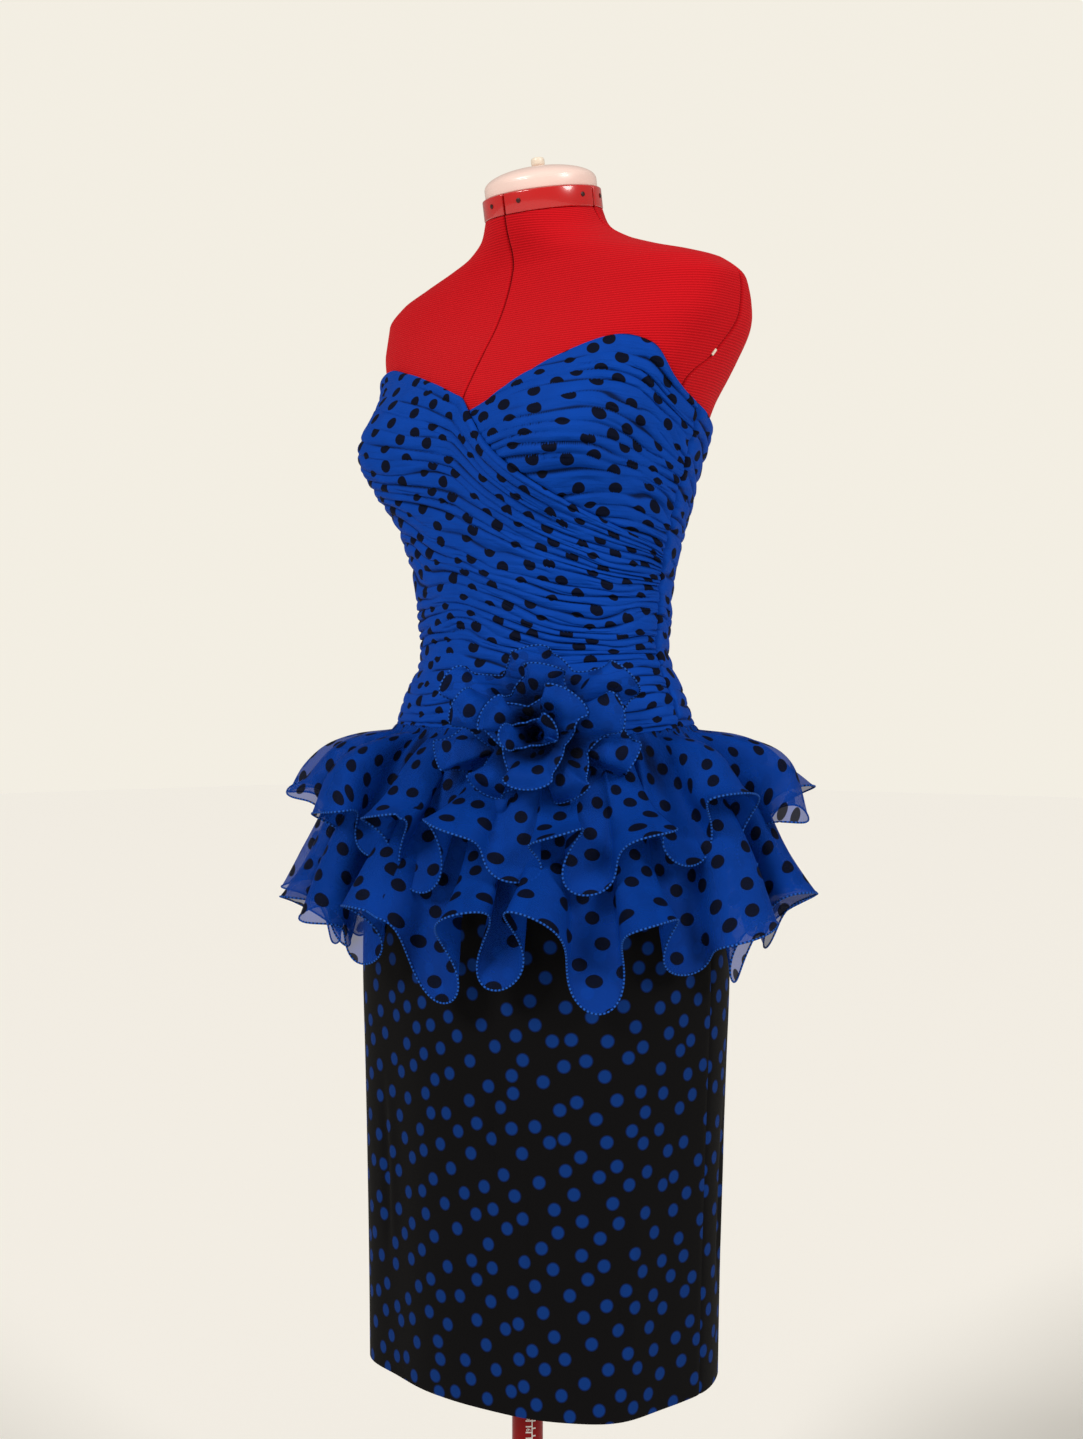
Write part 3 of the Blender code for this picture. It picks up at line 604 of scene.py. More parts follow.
@dataclass(frozen=True)
class Tier:
    """One ruffled tier: a ring of sheer cloth gathered at the seam, with a curled hem.

    crest, trough and pressed are fold lines from the seam to the hem, as (out, drop)
    stations in millimetres: at a wave's mouth, between two waves and below the rosette.
    leans, lifts and lips have one entry a wave, in millimetres: how far the wave's mouth
    leans towards the wearer's left, how far it is lifted and how far its hem turns up.
    """

    node: str
    crest: tuple
    trough: tuple
    pressed: tuple
    at_seam: float
    leans: tuple
    lifts: tuple
    lips: tuple
    seed: float
    rows: int
    waves: int = 17
    swing: float = 13.5
    flutter: float = 4.6
    columns: int = 940
    press_angle: float = 36.0
    press_full: float = 30.0
    press_end: float = 52.0
    side_angles: tuple = (116.0, 308.0)
    side_spread: float = 24.0
    side_rise: float = 24.0
    hem_from: float = 0.45
    lip_from: float = 0.74
    tongue_out: float = 14.0
    second_wave: tuple = (4.5, 6.0)
    ripple: float = 2.4
    gathers: float = 1.9

    def turn(self, angle: Array) -> Array:
        """The turn within the waves, in radians; the waves vary in width."""
        t = np.radians(angle)
        return self.waves * t + 0.55 * np.sin(2.0 * t + 0.6) + 0.40 * np.sin(5.0 * t + 2.1)

    def press(self, angle: Array) -> Array:
        """How far the rosette presses the ruffle down, from 0 to 1."""
        off = np.abs(wrapped(angle - self.press_angle))
        return 1.0 - ease((off - self.press_full) / (self.press_end - self.press_full))

    @staticmethod
    def by_wave(values: tuple, turn: Array) -> Array:
        """A value for each wave, read smoothly from one wave to the next."""
        return looped(values, turn / math.tau)

    def folds(self, angle: Array, share: Array, turn: Array) -> list[Array]:
        """How far out and how far down the plain waves lie, in millimetres."""
        t = np.radians(angle)
        size = 0.92 + 0.07 * np.sin(3.0 * t + 0.4) + 0.05 * np.sin(7.0 * t + 1.3)
        crestness = (0.5 + 0.5 * np.cos(turn)) * size
        pressed = self.press(angle)
        high, flat, low = (read_line(line, share) for line in (self.crest, self.pressed, self.trough))
        return [blend(low[k], blend(high[k], flat[k], pressed), crestness) for k in (0, 1)]

    def curl(self, angle: Array, share: Array, turn: Array, hem: Array, calm: Array) -> tuple[Array, Array]:
        """The hem's curl, out and down in millimetres.

        The waves' mouths are lifted and turn up into lips; the tongues between them
        hang out and down, less so at the sides.
        """
        mouth, tongue = 0.5 + 0.5 * np.cos(turn), 0.5 - 0.5 * np.cos(turn)
        side = sum(bump(wrapped(angle - at), self.side_spread) for at in self.side_angles)
        fall = 0.75 * (self.by_wave(self.lips[::-1], turn + math.pi) - 8.0) - self.side_rise * side
        lip = self.by_wave(self.lips, turn) * mouth**1.5 * calm
        turned_up = np.clip((share - self.lip_from) / (1.0 - self.lip_from), 0.0, 1.0) ** 2
        lift = mouth * self.by_wave(self.lifts, turn) + 0.6 * self.by_wave(self.leans, turn) * np.sin(turn)
        out = 0.10 * lip * turned_up + self.tongue_out * tongue**2 * hem * calm
        drop = lip * (0.42 * bump(share - self.lip_from, 0.16) - 0.62 * turned_up)
        return out, drop + hem * (fall * tongue - lift)

    def unevenness(self, angle: Array, share: Array, turn: Array, loose: Array) -> tuple[Array, Array]:
        """The second waves and flutter of the loose hem, the ripples and the gathers, out and down."""
        t = np.radians(angle)
        flutter_out = 0.4 + waver(turn * 2.9, turn * 0.41 + share * 2.0, self.seed)
        flutter_drop = waver(turn * 2.3 + 2.0, turn * 0.33, self.seed + 1.0)
        out = loose * (self.second_wave[0] * np.cos(2.0 * turn + 0.4) + self.flutter * flutter_out)
        drop = loose * (self.second_wave[1] * np.cos(2.0 * turn) + self.flutter * flutter_drop)
        ripple = bump(share - 0.42, 0.30) * np.sin(3.0 * turn + 1.5 * np.sin(t * 5.0 + self.seed))
        gather = np.clip(share / 0.10, 0.0, 1.0) * np.exp(-share / 0.24)
        gather = gather * np.sin(turn * 4.0 + 2.0 * np.sin(t * 9.0 + self.seed))
        return out + self.ripple * ripple + self.gathers * gather, drop

    def sideways(self, share: Array, turn: Array, hem: Array, calm: Array) -> Array:
        """How far the cloth swings towards the wearer's left, in millimetres."""
        mouth, tongue = 0.5 + 0.5 * np.cos(turn), 0.5 - 0.5 * np.cos(turn)
        lean = mouth * self.by_wave(self.leans, turn)
        lean = lean + 0.7 * tongue * self.by_wave(self.leans[::-1], turn + math.pi)
        uneven = 2.4 * hem * calm * waver(turn * 1.7, share * 3.0 + turn * 0.4, self.seed + 5.0)
        return self.swing * np.sin(2.0 * turn) * share**1.5 * calm + lean * share**2 + uneven

    def point(self, angle: Array, share: Array) -> Array:
        """The cloth's points at angles and shares of the way from the seam to the hem."""
        turn = self.turn(angle)
        calm = 1.0 - 0.25 * self.press(angle)
        hem = np.clip((share - self.hem_from) / (1.0 - self.hem_from), 0.0, 1.0) ** 2
        parts = (
            self.folds(angle, share, turn), self.curl(angle, share, turn, hem, calm),
            self.unevenness(angle, share, turn, hem * calm),
        )
        out, drop = (sum(part[k] for part in parts) for k in (0, 1))
        spot = angle + np.degrees(self.sideways(share, turn, hem, calm) * MM / (0.12 + out * MM))
        points = FORM.level_skin(spot, LINES.seam(spot) - 0.0006, self.at_seam + 0.0 * spot)
        away = level(FORM.normal(spot, LINES.seam_level + 0.0 * spot))
        points = points + away * (out * MM)[..., None]
        points[..., 2] -= drop * MM
        return points

    def grid(self) -> ClothGrid:
        """The tier's points round the body, seam to hem."""
        share, angle = net(self.rows, self.columns + 1, 0.0, 360.0)
        points = self.point(angle, share)
        run = lengths(points, 1)
        lower = int(self.rows * 0.7)
        down = lengths(points, 0) + 0.3 * self.seed
        flat = np.stack((np.broadcast_to(run[lower], run.shape), down), axis=-1)
        turn = self.turn(angle)
        # painted shade: darker below the gathered seam, in the valleys between the waves, and in dark lines
        # down the narrow troughs
        valley = 0.5 - 0.5 * np.cos(turn + 0.35 * waver(turn, share * 3.0, self.seed))
        painted_shade = 0.62 * np.exp(-share / 0.13) * (0.6 - 0.4 * np.sin(turn * 4.0))
        painted_shade = painted_shade + 0.62 * np.exp(-(1.0 - valley) / 0.05) * bump(share - 0.42, 0.24)
        painted_shade = painted_shade + 0.22 * valley * bump(share - 0.40, 0.25)
        return ClothGrid(points[:, :-1], flat, painted_shade[:, :-1], closed=True)


# The rosette


@dataclass(frozen=True)
class Petal:
    """One petal of a rosette ring: its direction in degrees, its reach, and its lift in millimetres."""

    turn: float
    reach: float
    lift: float


@dataclass(frozen=True)
class RosetteRing:
    """A ring of petals in one gathered strip, with a curled and stitched edge.

    crest and trough are the strip's (radius, height) lines at a petal's middle and
    between two petals, in millimetres in the rosette's own frame.
    """

    node: str
    crest: tuple
    trough: tuple
    petals: tuple
    swing: float
    overlap: float = 4.0
    flatten: float = 0.90
    flutter: float = 6.5
    second_wave: float = 3.5
    rows: int = 42
    columns: int = 420
    seed: float = 0.0

    def point(self, turn: Array, share: Array) -> Array:
        """Points in the rosette's own frame, in metres, at turns in degrees and shares of the way out."""
        count = len(self.petals)
        order = SmoothCurve(tuple(
            (petal.turn + 360.0 * lap, float(k + count * lap))
            for lap in (-1, 0, 1) for k, petal in enumerate(self.petals)
        ))(turn % 360.0)
        phase = math.tau * order
        lifts = looped([p.lift for p in self.petals], order)
        reaches = looped([p.reach for p in self.petals], order)
        high_r, high_z = read_line(self.crest, share)
        low_r, low_z = read_line(self.trough, share)
        crestness = 0.5 + 0.5 * np.cos(phase)
        radius = blend(low_r, high_r * blend(1.0, reaches, share), crestness**0.6)
        height = blend(low_z, high_z + lifts * share**2, crestness) + self.overlap * share * np.sin(phase)
        hem = share**3
        height = height + self.flutter * hem * waver(phase * 1.9, share * 2.0 + phase * 0.3, self.seed)
        height = height + self.second_wave * share**2 * np.sin(2.0 * phase + 1.3 * order)
        radius = radius * (1.0 + 0.035 * hem * waver(phase * 2.7, phase * 0.4, self.seed + 2.0))
        side = self.swing * share**1.5 * np.sin(2.0 * phase + 0.5 * np.sin(phase))
        t = np.radians(turn + side)
        y = radius * np.sin(t) * blend(1.0, self.flatten, share)
        return stack(radius * np.cos(t), y, height) * MM

    def grid(self, place: Matrix) -> ClothGrid:
        """The ring's points in the row frame."""
        share, turn = net(self.rows, self.columns + 1, 0.0, 360.0)
        local = self.point(turn, share)
        matrix = np.array(place)
        points = local @ matrix[:3, :3].T + matrix[:3, 3]
        run = lengths(points, 1)
        across = np.broadcast_to(run[int(self.rows * 0.7)], run.shape)
        flat = np.stack((across + self.seed * 0.37, lengths(points, 0)), axis=-1)
        # painted shade: darker towards the ring's root, under the next ring, and in the hollows between
        # petals
        reach = np.linalg.norm(local[..., :2], axis=-1)
        away = 1.0 - reach / reach.max(axis=1, keepdims=True)
        painted_shade = 0.90 * (1.0 - ease((share - 0.36) / 0.38)) + 2.0 * away * bump(share - 0.65, 0.35)
        return ClothGrid(points[:, :-1], flat, np.clip(painted_shade, 0.0, 0.9)[:, :-1], closed=True)


@dataclass(frozen=True)
class Rosette:
    """The rosette's place on the seam, and its four rings."""

    angle: float = 36.0
    height: float = 0.894
    tilt: float = 3.0
    off_skin: float = 0.0062
    rings: tuple = (
        RosetteRing(
            "rosette_outer",
            ((8.4, 1.0), (18.0, 12.0), (44.0, 24.0), (70.0, 28.0), (89.0, 18.0)),
            ((8.4, 1.0), (15.0, 5.0), (34.0, 9.0), (52.0, 11.0), (66.0, 6.0)),
            (
                Petal(-14.0, 0.92, -4.0), Petal(38.0, 1.04, 5.0), Petal(96.0, 0.90, -2.0),
                Petal(146.0, 1.10, 6.0), Petal(192.0, 1.00, -2.0), Petal(238.0, 0.98, -4.0),
                Petal(290.0, 0.86, -2.0),
            ),
            3.5, seed=1.0,
        ),
        RosetteRing(
            "rosette_middle",
            ((7.2, 2.2), (13.0, 20.0), (33.0, 38.0), (54.0, 46.0), (70.0, 36.0)),
            ((7.2, 2.2), (10.5, 11.0), (21.0, 20.0), (32.0, 24.0), (42.0, 20.0)),
            (
                Petal(18.0, 1.06, 3.0), Petal(84.0, 0.94, -2.0), Petal(158.0, 1.04, 2.0),
                Petal(228.0, 0.96, -3.0), Petal(300.0, 0.92, 1.0),
            ),
            6.0, columns=360, seed=2.0,
        ),
        RosetteRing(
            "rosette_inner",
            ((6.0, 3.4), (8.5, 22.0), (20.0, 44.0), (35.0, 58.0), (48.0, 52.0)),
            ((6.0, 3.4), (7.5, 17.0), (13.0, 32.0), (20.0, 42.0), (26.0, 44.0)),
            (Petal(48.0, 1.04, 2.0), Petal(150.0, 0.95, -1.0), Petal(268.0, 1.0, 2.0)),
            10.0, columns=300, seed=3.0,
        ),
        RosetteRing(
            "rosette_bud",
            ((4.5, 5.0), (5.4, 26.0), (9.0, 44.0), (16.0, 58.0), (23.0, 60.0)),
            ((4.5, 5.0), (5.0, 22.0), (6.0, 38.0), (8.0, 50.0), (10.0, 54.0)),
            (Petal(20.0, 1.0, 1.0), Petal(190.0, 0.92, 2.0)),
            14.0, columns=160, seed=4.0,
        ),
    )

    def frame(self) -> Matrix:
        """The rosette's frame: +Z points away from the body and +Y up."""
        spot, height = np.array(self.angle), np.array(self.height)
        centre = Vector(FORM.skin(spot, height, self.off_skin))
        away = Vector(level(FORM.normal(spot, height)))
        lift = math.radians(self.tilt)
        axis = away * math.cos(lift) + Vector((0.0, 0.0, math.sin(lift)))
        right = Vector((0.0, 0.0, 1.0)).cross(axis).normalized()
        placed = Matrix((right, axis.cross(right), axis)).transposed().to_4x4()
        placed.translation = centre
        return placed


# The skirt


@dataclass(frozen=True)
class Skirt:
    """The straight skirt's surface, with its soft hollows and creases.

    Each of the creases has its angle, top and bottom height, slant in degrees a centimetre, and
    depth in millimetres.
    """

    sections: Sections = Sections((
        (0.350, 0.157, 0.020, 0.108, 0.144, 2.4),
        (0.420, 0.159, 0.020, 0.109, 0.146, 2.35),
        (0.520, 0.163, 0.020, 0.110, 0.148, 2.3),
        (0.620, 0.168, 0.020, 0.112, 0.151, 2.25),
        (0.700, 0.171, 0.020, 0.113, 0.153, 2.25),
        (0.760, 0.171, 0.020, 0.113, 0.153, 2.2),
        (0.820, 0.163, 0.020, 0.106, 0.146, 2.15),
        (0.866, 0.1515, 0.020, 0.0975, 0.1375, 2.1),
    ))
    off_form: float = 0.0025
    creases: tuple = (
        (16.0, 0.66, 0.52, 0.10, 1.5), (28.0, 0.60, 0.40, -0.05, 1.0), (64.0, 0.55, 0.37, 0.06, 1.2),
        (-24.0, 0.62, 0.44, -0.10, 1.4), (-58.0, 0.56, 0.38, 0.05, 1.1), (112.0, 0.60, 0.42, 0.08, 1.2),
        (146.0, 0.64, 0.46, -0.09, 1.4), (176.0, 0.52, 0.36, 0.02, 1.0), (214.0, 0.60, 0.40, 0.10, 1.3),
        (243.0, 0.66, 0.50, -0.06, 1.1),
    )

    def point(self, angle: Array, height: Array) -> Array:
        """Points of the skirt's outside; near the waist seam it follows the form."""
        angle, height = np.broadcast_arrays(np.asarray(angle, float), np.asarray(height, float))
        fitted_from = self.sections.rows[-1][0]
        loose = self.sections.point(angle, np.minimum(height, fitted_from))
        out = self.off_form + 0.0 * angle
        fitted = FORM.level_skin(angle, height, out)
        edge = FORM.level_skin(angle, np.full_like(height, fitted_from), out)
        left = np.clip(1.0 - (height - fitted_from) / (LINES.seam(angle) - fitted_from), 0.0, 1.0)
        upper = fitted + (loose - edge) * left[..., None]
        points = np.where((height <= fitted_from)[..., None], loose, upper)
        points[..., 2] = height
        return points

    def relief(self, angle: Array, height: Array) -> Array:
        """How far creases and hollows stand out from or into the plain surface."""
        turn = np.radians(angle)
        loose = ease((0.80 - height) / 0.30)
        total = 0.0016 * loose * (np.sin(7.0 * turn + 0.8) + 0.6 * np.sin(11.0 * turn + 2.0))
        for at, top, bottom, slant, deep in self.creases:
            line = wrapped(angle - at - slant * (height - 0.5) * 100.0)
            reach = ease((height - bottom) / 0.05) * ease((top - height) / 0.08)
            total = total - deep * MM * reach * (1.5 * bump(line, 2.2) - 0.8 * bump(line - 3.4, 2.6))
        return total

    def grid(self, first: float, last: float, rows: int = 120, columns: int = 180) -> ClothGrid:
        """One half of the skirt, from one side seam to the other."""
        share, angle = net(rows, columns, first, last)
        height = blend(LINES.seam(angle) - 0.0006, LINES.hem(angle), share)
        away = level(normals(self.point, angle, height))
        edge = np.minimum(np.abs(angle - first), np.abs(angle - last))
        sewn = 0.0008 * bump(edge, 0.8)
        points = self.point(angle, height) + away * (self.relief(angle, height) - sewn)[..., None]
        run = lengths(points, 1)
        along = run[rows // 2][None, :] + 0.0 * run + first * 0.01
        flat = np.stack((along, LINES.seam_level - height), axis=-1)
        return ClothGrid(points, flat, bump(edge, 0.45))


SKIRT = Skirt()


# Shader maths


def operator(operation: str, reflected: bool = False) -> Callable:
    """An arithmetic method of Wire.

    Args:
        operation: The Math node's operation.
        reflected: Whether the wire is the second operand.

    Returns:
        The method.
    """

    def apply(wire: "Wire", other: "Wire | float") -> "Wire":
        first, second = (other, wire) if reflected else (wire, other)
        return wire.graph.math(operation, first, second)

    return apply


class Wire:
    """A node's output socket that takes arithmetic."""

    def __init__(self, graph: "Graph", socket: bpy.types.NodeSocket) -> None:
        self.graph = graph
        self.socket = socket

    __add__ = operator("ADD")
    __radd__ = operator("ADD", True)
    __sub__ = operator("SUBTRACT")
    __rsub__ = operator("SUBTRACT", True)
    __mul__ = operator("MULTIPLY")
    __rmul__ = operator("MULTIPLY", True)
    __truediv__ = operator("DIVIDE")
    __rtruediv__ = operator("DIVIDE", True)
    __pow__ = operator("POWER")

    def sine(self) -> "Wire":
        """The sine, in radians."""
        return self.graph.math("SINE", self, 0.0)

    def largest(self, other: "Wire | float") -> "Wire":
        """The larger of two."""
        return self.graph.math("MAXIMUM", self, other)

    def step(self, start: float, end: float) -> "Wire":
        """A soft step from 0 at start to 1 at end."""
        settings = {"interpolation_type": "SMOOTHSTEP"}
        inputs = {"Value": self, "From Min": start, "From Max": end}
        return Wire(self.graph, self.graph.node("ShaderNodeMapRange", settings, inputs).outputs["Result"])


class Graph:
    """A material's nodes round one Principled shader."""

    def __init__(self, name: str) -> None:
        self.material = bpy.data.materials.new(name)
        self.material.use_nodes = True
        self.tree = self.material.node_tree
        self.shader = self.tree.nodes["Principled BSDF"]

    def node(self, kind: str, settings: dict, inputs: dict) -> bpy.types.Node:
        """Any node.

        Args:
            kind: The node's type.
            settings: Its own settings, set first.
            inputs: Socket names or numbers with their values or links.

        Returns:
            The node.
        """
        made = self.tree.nodes.new(kind)
        for name, value in settings.items():
            setattr(made, name, value)
        for name, value in inputs.items():
            self.feed(made.inputs[name], value)
        return made

    def feed(self, socket: bpy.types.NodeSocket, value: object) -> None:
        """Link a wire to a socket, or set the socket's value."""
        if isinstance(value, Wire):
            self.tree.links.new(value.socket, socket)
        else:
            socket.default_value = value

    def math(self, operation: str, a: Wire | float, b: Wire | float) -> Wire:
        """One Math node."""
        made = self.node("ShaderNodeMath", {"operation": operation}, {0: a, 1: b})
        return Wire(self, made.outputs[0])

    def mix(self, factor: Wire | float, first: object, second: object) -> Wire:
        """Two colours mixed by a factor."""
        made = self.node("ShaderNodeMix", {"data_type": "RGBA"}, {0: factor, 6: first, 7: second})
        return Wire(self, made.outputs[2])

    def uv(self) -> Wire:
        """The piece's place in its flat cloth, in metres."""
        return Wire(self, self.node("ShaderNodeUVMap", {"uv_map": "cloth"}, {}).outputs[0])

    def place(self) -> Wire:
        """Object coordinates, in metres."""
        return Wire(self, self.node("ShaderNodeTexCoord", {}, {}).outputs["Object"])

    def turned(self, vector: Wire, degrees: float, scale: tuple = (1.0, 1.0, 1.0)) -> Wire:
        """A vector turned about Z, then scaled."""
        inputs = {"Vector": vector, "Angle": math.radians(degrees)}
        spun = Wire(self, self.node("ShaderNodeVectorRotate", {"rotation_type": "Z_AXIS"}, inputs).outputs[0])
        made = self.node("ShaderNodeVectorMath", {"operation": "MULTIPLY"}, {0: spun, 1: scale})
        return Wire(self, made.outputs[0])

    def part(self, vector: Wire, axis: str) -> Wire:
        """One coordinate of a vector."""
        return Wire(self, self.node("ShaderNodeSeparateXYZ", {}, {0: vector}).outputs[axis])

    def attribute(self, name: str) -> Wire:
        """A point attribute of the piece."""
        return Wire(self, self.node("ShaderNodeAttribute", {"attribute_name": name}, {}).outputs["Fac"])

    def noise(self, vector: Wire, scale: float, detail: float = 2.0) -> Wire:
        """Plain noise from 0 to 1."""
        made = self.node("ShaderNodeTexNoise", {}, {"Vector": vector, "Scale": scale, "Detail": detail})
        return Wire(self, made.outputs[0])

    def spots(self, vector: Wire, spacing: float, loose: float) -> Wire:
        """The distance to the nearest of scattered spots, in metres."""
        settings = {"voronoi_dimensions": "2D", "feature": "F1"}
        inputs = {"Vector": vector, "Scale": 1.0 / spacing, "Randomness": loose}
        return Wire(self, self.node("ShaderNodeTexVoronoi", settings, inputs).outputs["Distance"]) * spacing

    def bump(self, height: Wire, distance: float, strength: float = 1.0) -> Wire:
        """A bumped normal out of a height from 0 to 1 and a distance in metres."""
        inputs = {"Height": height, "Distance": distance, "Strength": strength}
        return Wire(self, self.node("ShaderNodeBump", {}, inputs).outputs[0])

    def finish(self, **inputs: object) -> Material:
        """Feed the shader's sockets, named with underscores for spaces, and return the material."""
        for name, value in inputs.items():
            self.feed(self.shader.inputs[name.replace("_", " ")], value)
        return self.material


Colour = tuple[float, float, float, float]


@dataclass(frozen=True)
class Chiffon:
    """Royal blue chiffon with scattered black dots, and painted shade in its folds and recesses."""

    name: str
    alpha: float
    blue: Colour = (0.0015, 0.050, 0.355, 1.0)
    # deep: the colour of painted shade in folds and recesses; the grain's random mottle uses it too
    deep: Colour = (0.0010, 0.009, 0.055, 1.0)
    dot: Colour = (0.0018, 0.0022, 0.0045, 1.0)
    dot_radius: float = 0.0054
    spacing: float = 0.0228
    streaks: float = 0.0

    def build(self) -> Material:
        """The material."""
        g = Graph(self.name)
        cloth = g.uv()
        distance = g.spots(g.turned(cloth, 27.0), self.spacing, 0.54)
        dots = 1.0 - distance.step(self.dot_radius - 0.0003, self.dot_radius + 0.0003)
        crinkle = g.noise(cloth, 420.0)
        grain = g.noise(cloth, 55.0)
        painted_shade = g.attribute("painted_shade")
        # painted shade: the point attribute of painted shade darkens the blue towards deep
        colour = g.mix(painted_shade.step(0.08, 0.85), self.blue, self.deep)
        colour = g.mix(grain * 0.30 * (1.0 - painted_shade.step(0.05, 0.4)), colour, self.deep)
        colour = g.mix(dots * 0.97, colour, self.dot)
        alpha = 1.0 if self.alpha == 1.0 else dots * (0.97 - self.alpha) + self.alpha
        streak = g.noise(g.turned(cloth, 0.0, (22.0, 230.0, 1.0)), 1.0) * self.streaks
        return g.finish(
            Base_Color=colour, Alpha=alpha, Roughness=0.70, Specular_IOR_Level=0.05,
            Normal=g.bump(crinkle * 0.22 + streak, 0.0022, 0.6),
        )


@dataclass(frozen=True)
class Thread:
    """The lighter thread of a rolled hem."""

    name: str = "hem_thread"
    light: Colour = (0.016, 0.100, 0.46, 1.0)
    dark: Colour = (0.001, 0.007, 0.050, 1.0)
    stitch: float = 0.0034

    def build(self) -> Material:
        """The material, darker between its stitches."""
        g = Graph(self.name)
        wave = (g.part(g.uv(), "X") * (math.tau / self.stitch)).sine() * 0.5 + 0.5
        return g.finish(Base_Color=g.mix(wave, self.dark, self.light), Roughness=0.7, Specular_IOR_Level=0.05)


@dataclass(frozen=True)
class BlackChiffon:
    """Black chiffon over a black lining, with scattered blue dots."""

    name: str = "black_chiffon"
    black: Colour = (0.0030, 0.0028, 0.0032, 1.0)
    blue: Colour = (0.0022, 0.0245, 0.140, 1.0)
    ring: Colour = (0.002, 0.010, 0.060, 1.0)
    dot_radius: float = 0.0058
    spacing: float = 0.0225

    def build(self) -> Material:
        """The material."""
        g = Graph(self.name)
        cloth = g.uv()
        distance = g.spots(g.turned(cloth, 31.0), self.spacing, 0.48)
        dots = 1.0 - distance.step(self.dot_radius - 0.0002, self.dot_radius + 0.0002)
        middle = 1.0 - distance.step(self.dot_radius - 0.0011, self.dot_radius - 0.0007)
        grain = g.noise(cloth, 900.0)
        colour = g.mix(dots, self.black, g.mix(middle, self.ring, self.blue))
        return g.finish(
            Base_Color=colour, Roughness=0.72, Normal=g.bump(grain, 0.0002, 0.5),
            Specular_IOR_Level=0.05,
        )


@dataclass(frozen=True)
class RedKnit:
    """Fine horizontally ribbed red knit."""

    name: str = "red_rib_knit"
    light: Colour = (0.60, 0.006, 0.012, 1.0)
    dark: Colour = (0.36, 0.002, 0.005, 1.0)
    # line: the colour of painted shade in the form's open splits
    line: Colour = (0.035, 0.001, 0.001, 1.0)
    rib: float = 0.0021

    def build(self) -> Material:
        """The material; a point attribute marks the form's open splits, whose gaps get painted shade."""
        g = Graph(self.name)
        place = g.place()
        wave = (g.part(place, "Z") * (math.tau / self.rib)).sine() * 0.5 + 0.5
        fluff = g.noise(place, 700.0)
        colour = g.mix(wave * 0.7 + fluff * 0.3, self.dark, self.light)
        # painted shade: the splits' gaps darken to line
        colour = g.mix(g.attribute("painted_shade").step(0.25, 0.75), colour, self.line)
        return g.finish(
            Base_Color=colour, Roughness=0.9, Normal=g.bump(wave + fluff * 0.3, 0.0005, 0.6),
            Sheen_Weight=0.02, Sheen_Roughness=0.5, Specular_IOR_Level=0.08,
        )


@dataclass(frozen=True)
class Plain:
    """A plain hard finish with a faint unevenness."""

    name: str
    colour: Colour
    roughness: float
    metallic: float = 0.0
    coat: float = 0.0

    def build(self) -> Material:
        """The material."""
        g = Graph(self.name)
        cloud = g.noise(g.place(), 45.0)
        rough = cloud * (0.2 * self.roughness) + 0.9 * self.roughness
        return g.finish(
            Base_Color=self.colour, Roughness=rough, Metallic=self.metallic, Coat_Weight=self.coat,
            Coat_Roughness=0.08,
        )


@dataclass(frozen=True)
class ScaledPole:
    """Glossy red with a white printed height scale on one side."""

    name: str = "pole_red"
    colour: Colour = (0.27, 0.0012, 0.002, 1.0)
    white: Colour = (0.80, 0.76, 0.72, 1.0)
    facing: float = 59.5
    half_line: float = 0.0004
    soft: float = 0.0002
    left: tuple = (0.0050, -0.0054, 0.0)
    right: tuple = (0.0065, 0.0, 0.0032)

    def build(self) -> Material:
        """The material: a line up the pole with ticks on both sides, each side as (pitch, start, end)."""
        g = Graph(self.name)
        place = g.place()
        turn = math.radians(self.facing)
        across = g.part(place, "X") * math.cos(turn) + g.part(place, "Y") * math.sin(turn)
        ahead = g.part(place, "X") * math.sin(turn) - g.part(place, "Y") * math.cos(turn)
        height = g.part(place, "Z")

        def ticks(pitch: float, start: float, end: float) -> Wire:
            part = g.math("FRACT", height / pitch, 0.0)
            line = 1.0 - g.math("ABSOLUTE", part - 0.5, 0.0).step(self.half_line / pitch, 0.0007 / pitch)
            return line * across.step(start - self.soft, start) * (1.0 - across.step(end, end + self.soft))

        upright = 1.0 - g.math("ABSOLUTE", across, 0.0).step(self.half_line, self.half_line + self.soft)
        mask = ticks(*self.left).largest(ticks(*self.right)).largest(upright)
        mask = mask * ahead.step(0.0, 0.0005)
        return g.finish(
            Base_Color=g.mix(mask, self.colour, self.white), Roughness=0.3, Specular_IOR_Level=0.12,
            Coat_Weight=0.03,
        )


# Hard pieces


def cleared() -> None:
    """Deselect every object."""
    bpy.ops.object.select_all(action="DESELECT")


def named(name: str) -> Object:
    """Name the object just made and settle its place and size into its mesh."""
    made = bpy.context.object
    made.name = name
    bpy.ops.object.transform_apply(location=True, rotation=True, scale=True)
    return made


def with_modifier(made: Object, kind: str, **settings: object) -> Object:
    """Add a modifier with settings to an object and apply it."""
    cleared()
    made.select_set(True)
    bpy.context.view_layer.objects.active = made
    modifier = made.modifiers.new(kind.lower(), kind)
    for name, value in settings.items():
        setattr(modifier, name, value)
    bpy.ops.object.modifier_apply(modifier=modifier.name)
    return made


def edged(made: Object, width: float, segments: int = 4) -> Object:
    """Round an object's sharp edges and shade it smooth."""
    sharp = math.radians(40.0)
    with_modifier(made, "BEVEL", width=width, segments=segments, limit_method="ANGLE", angle_limit=sharp)
    bpy.ops.object.shade_smooth_by_angle(angle=math.radians(35.0))
    return made


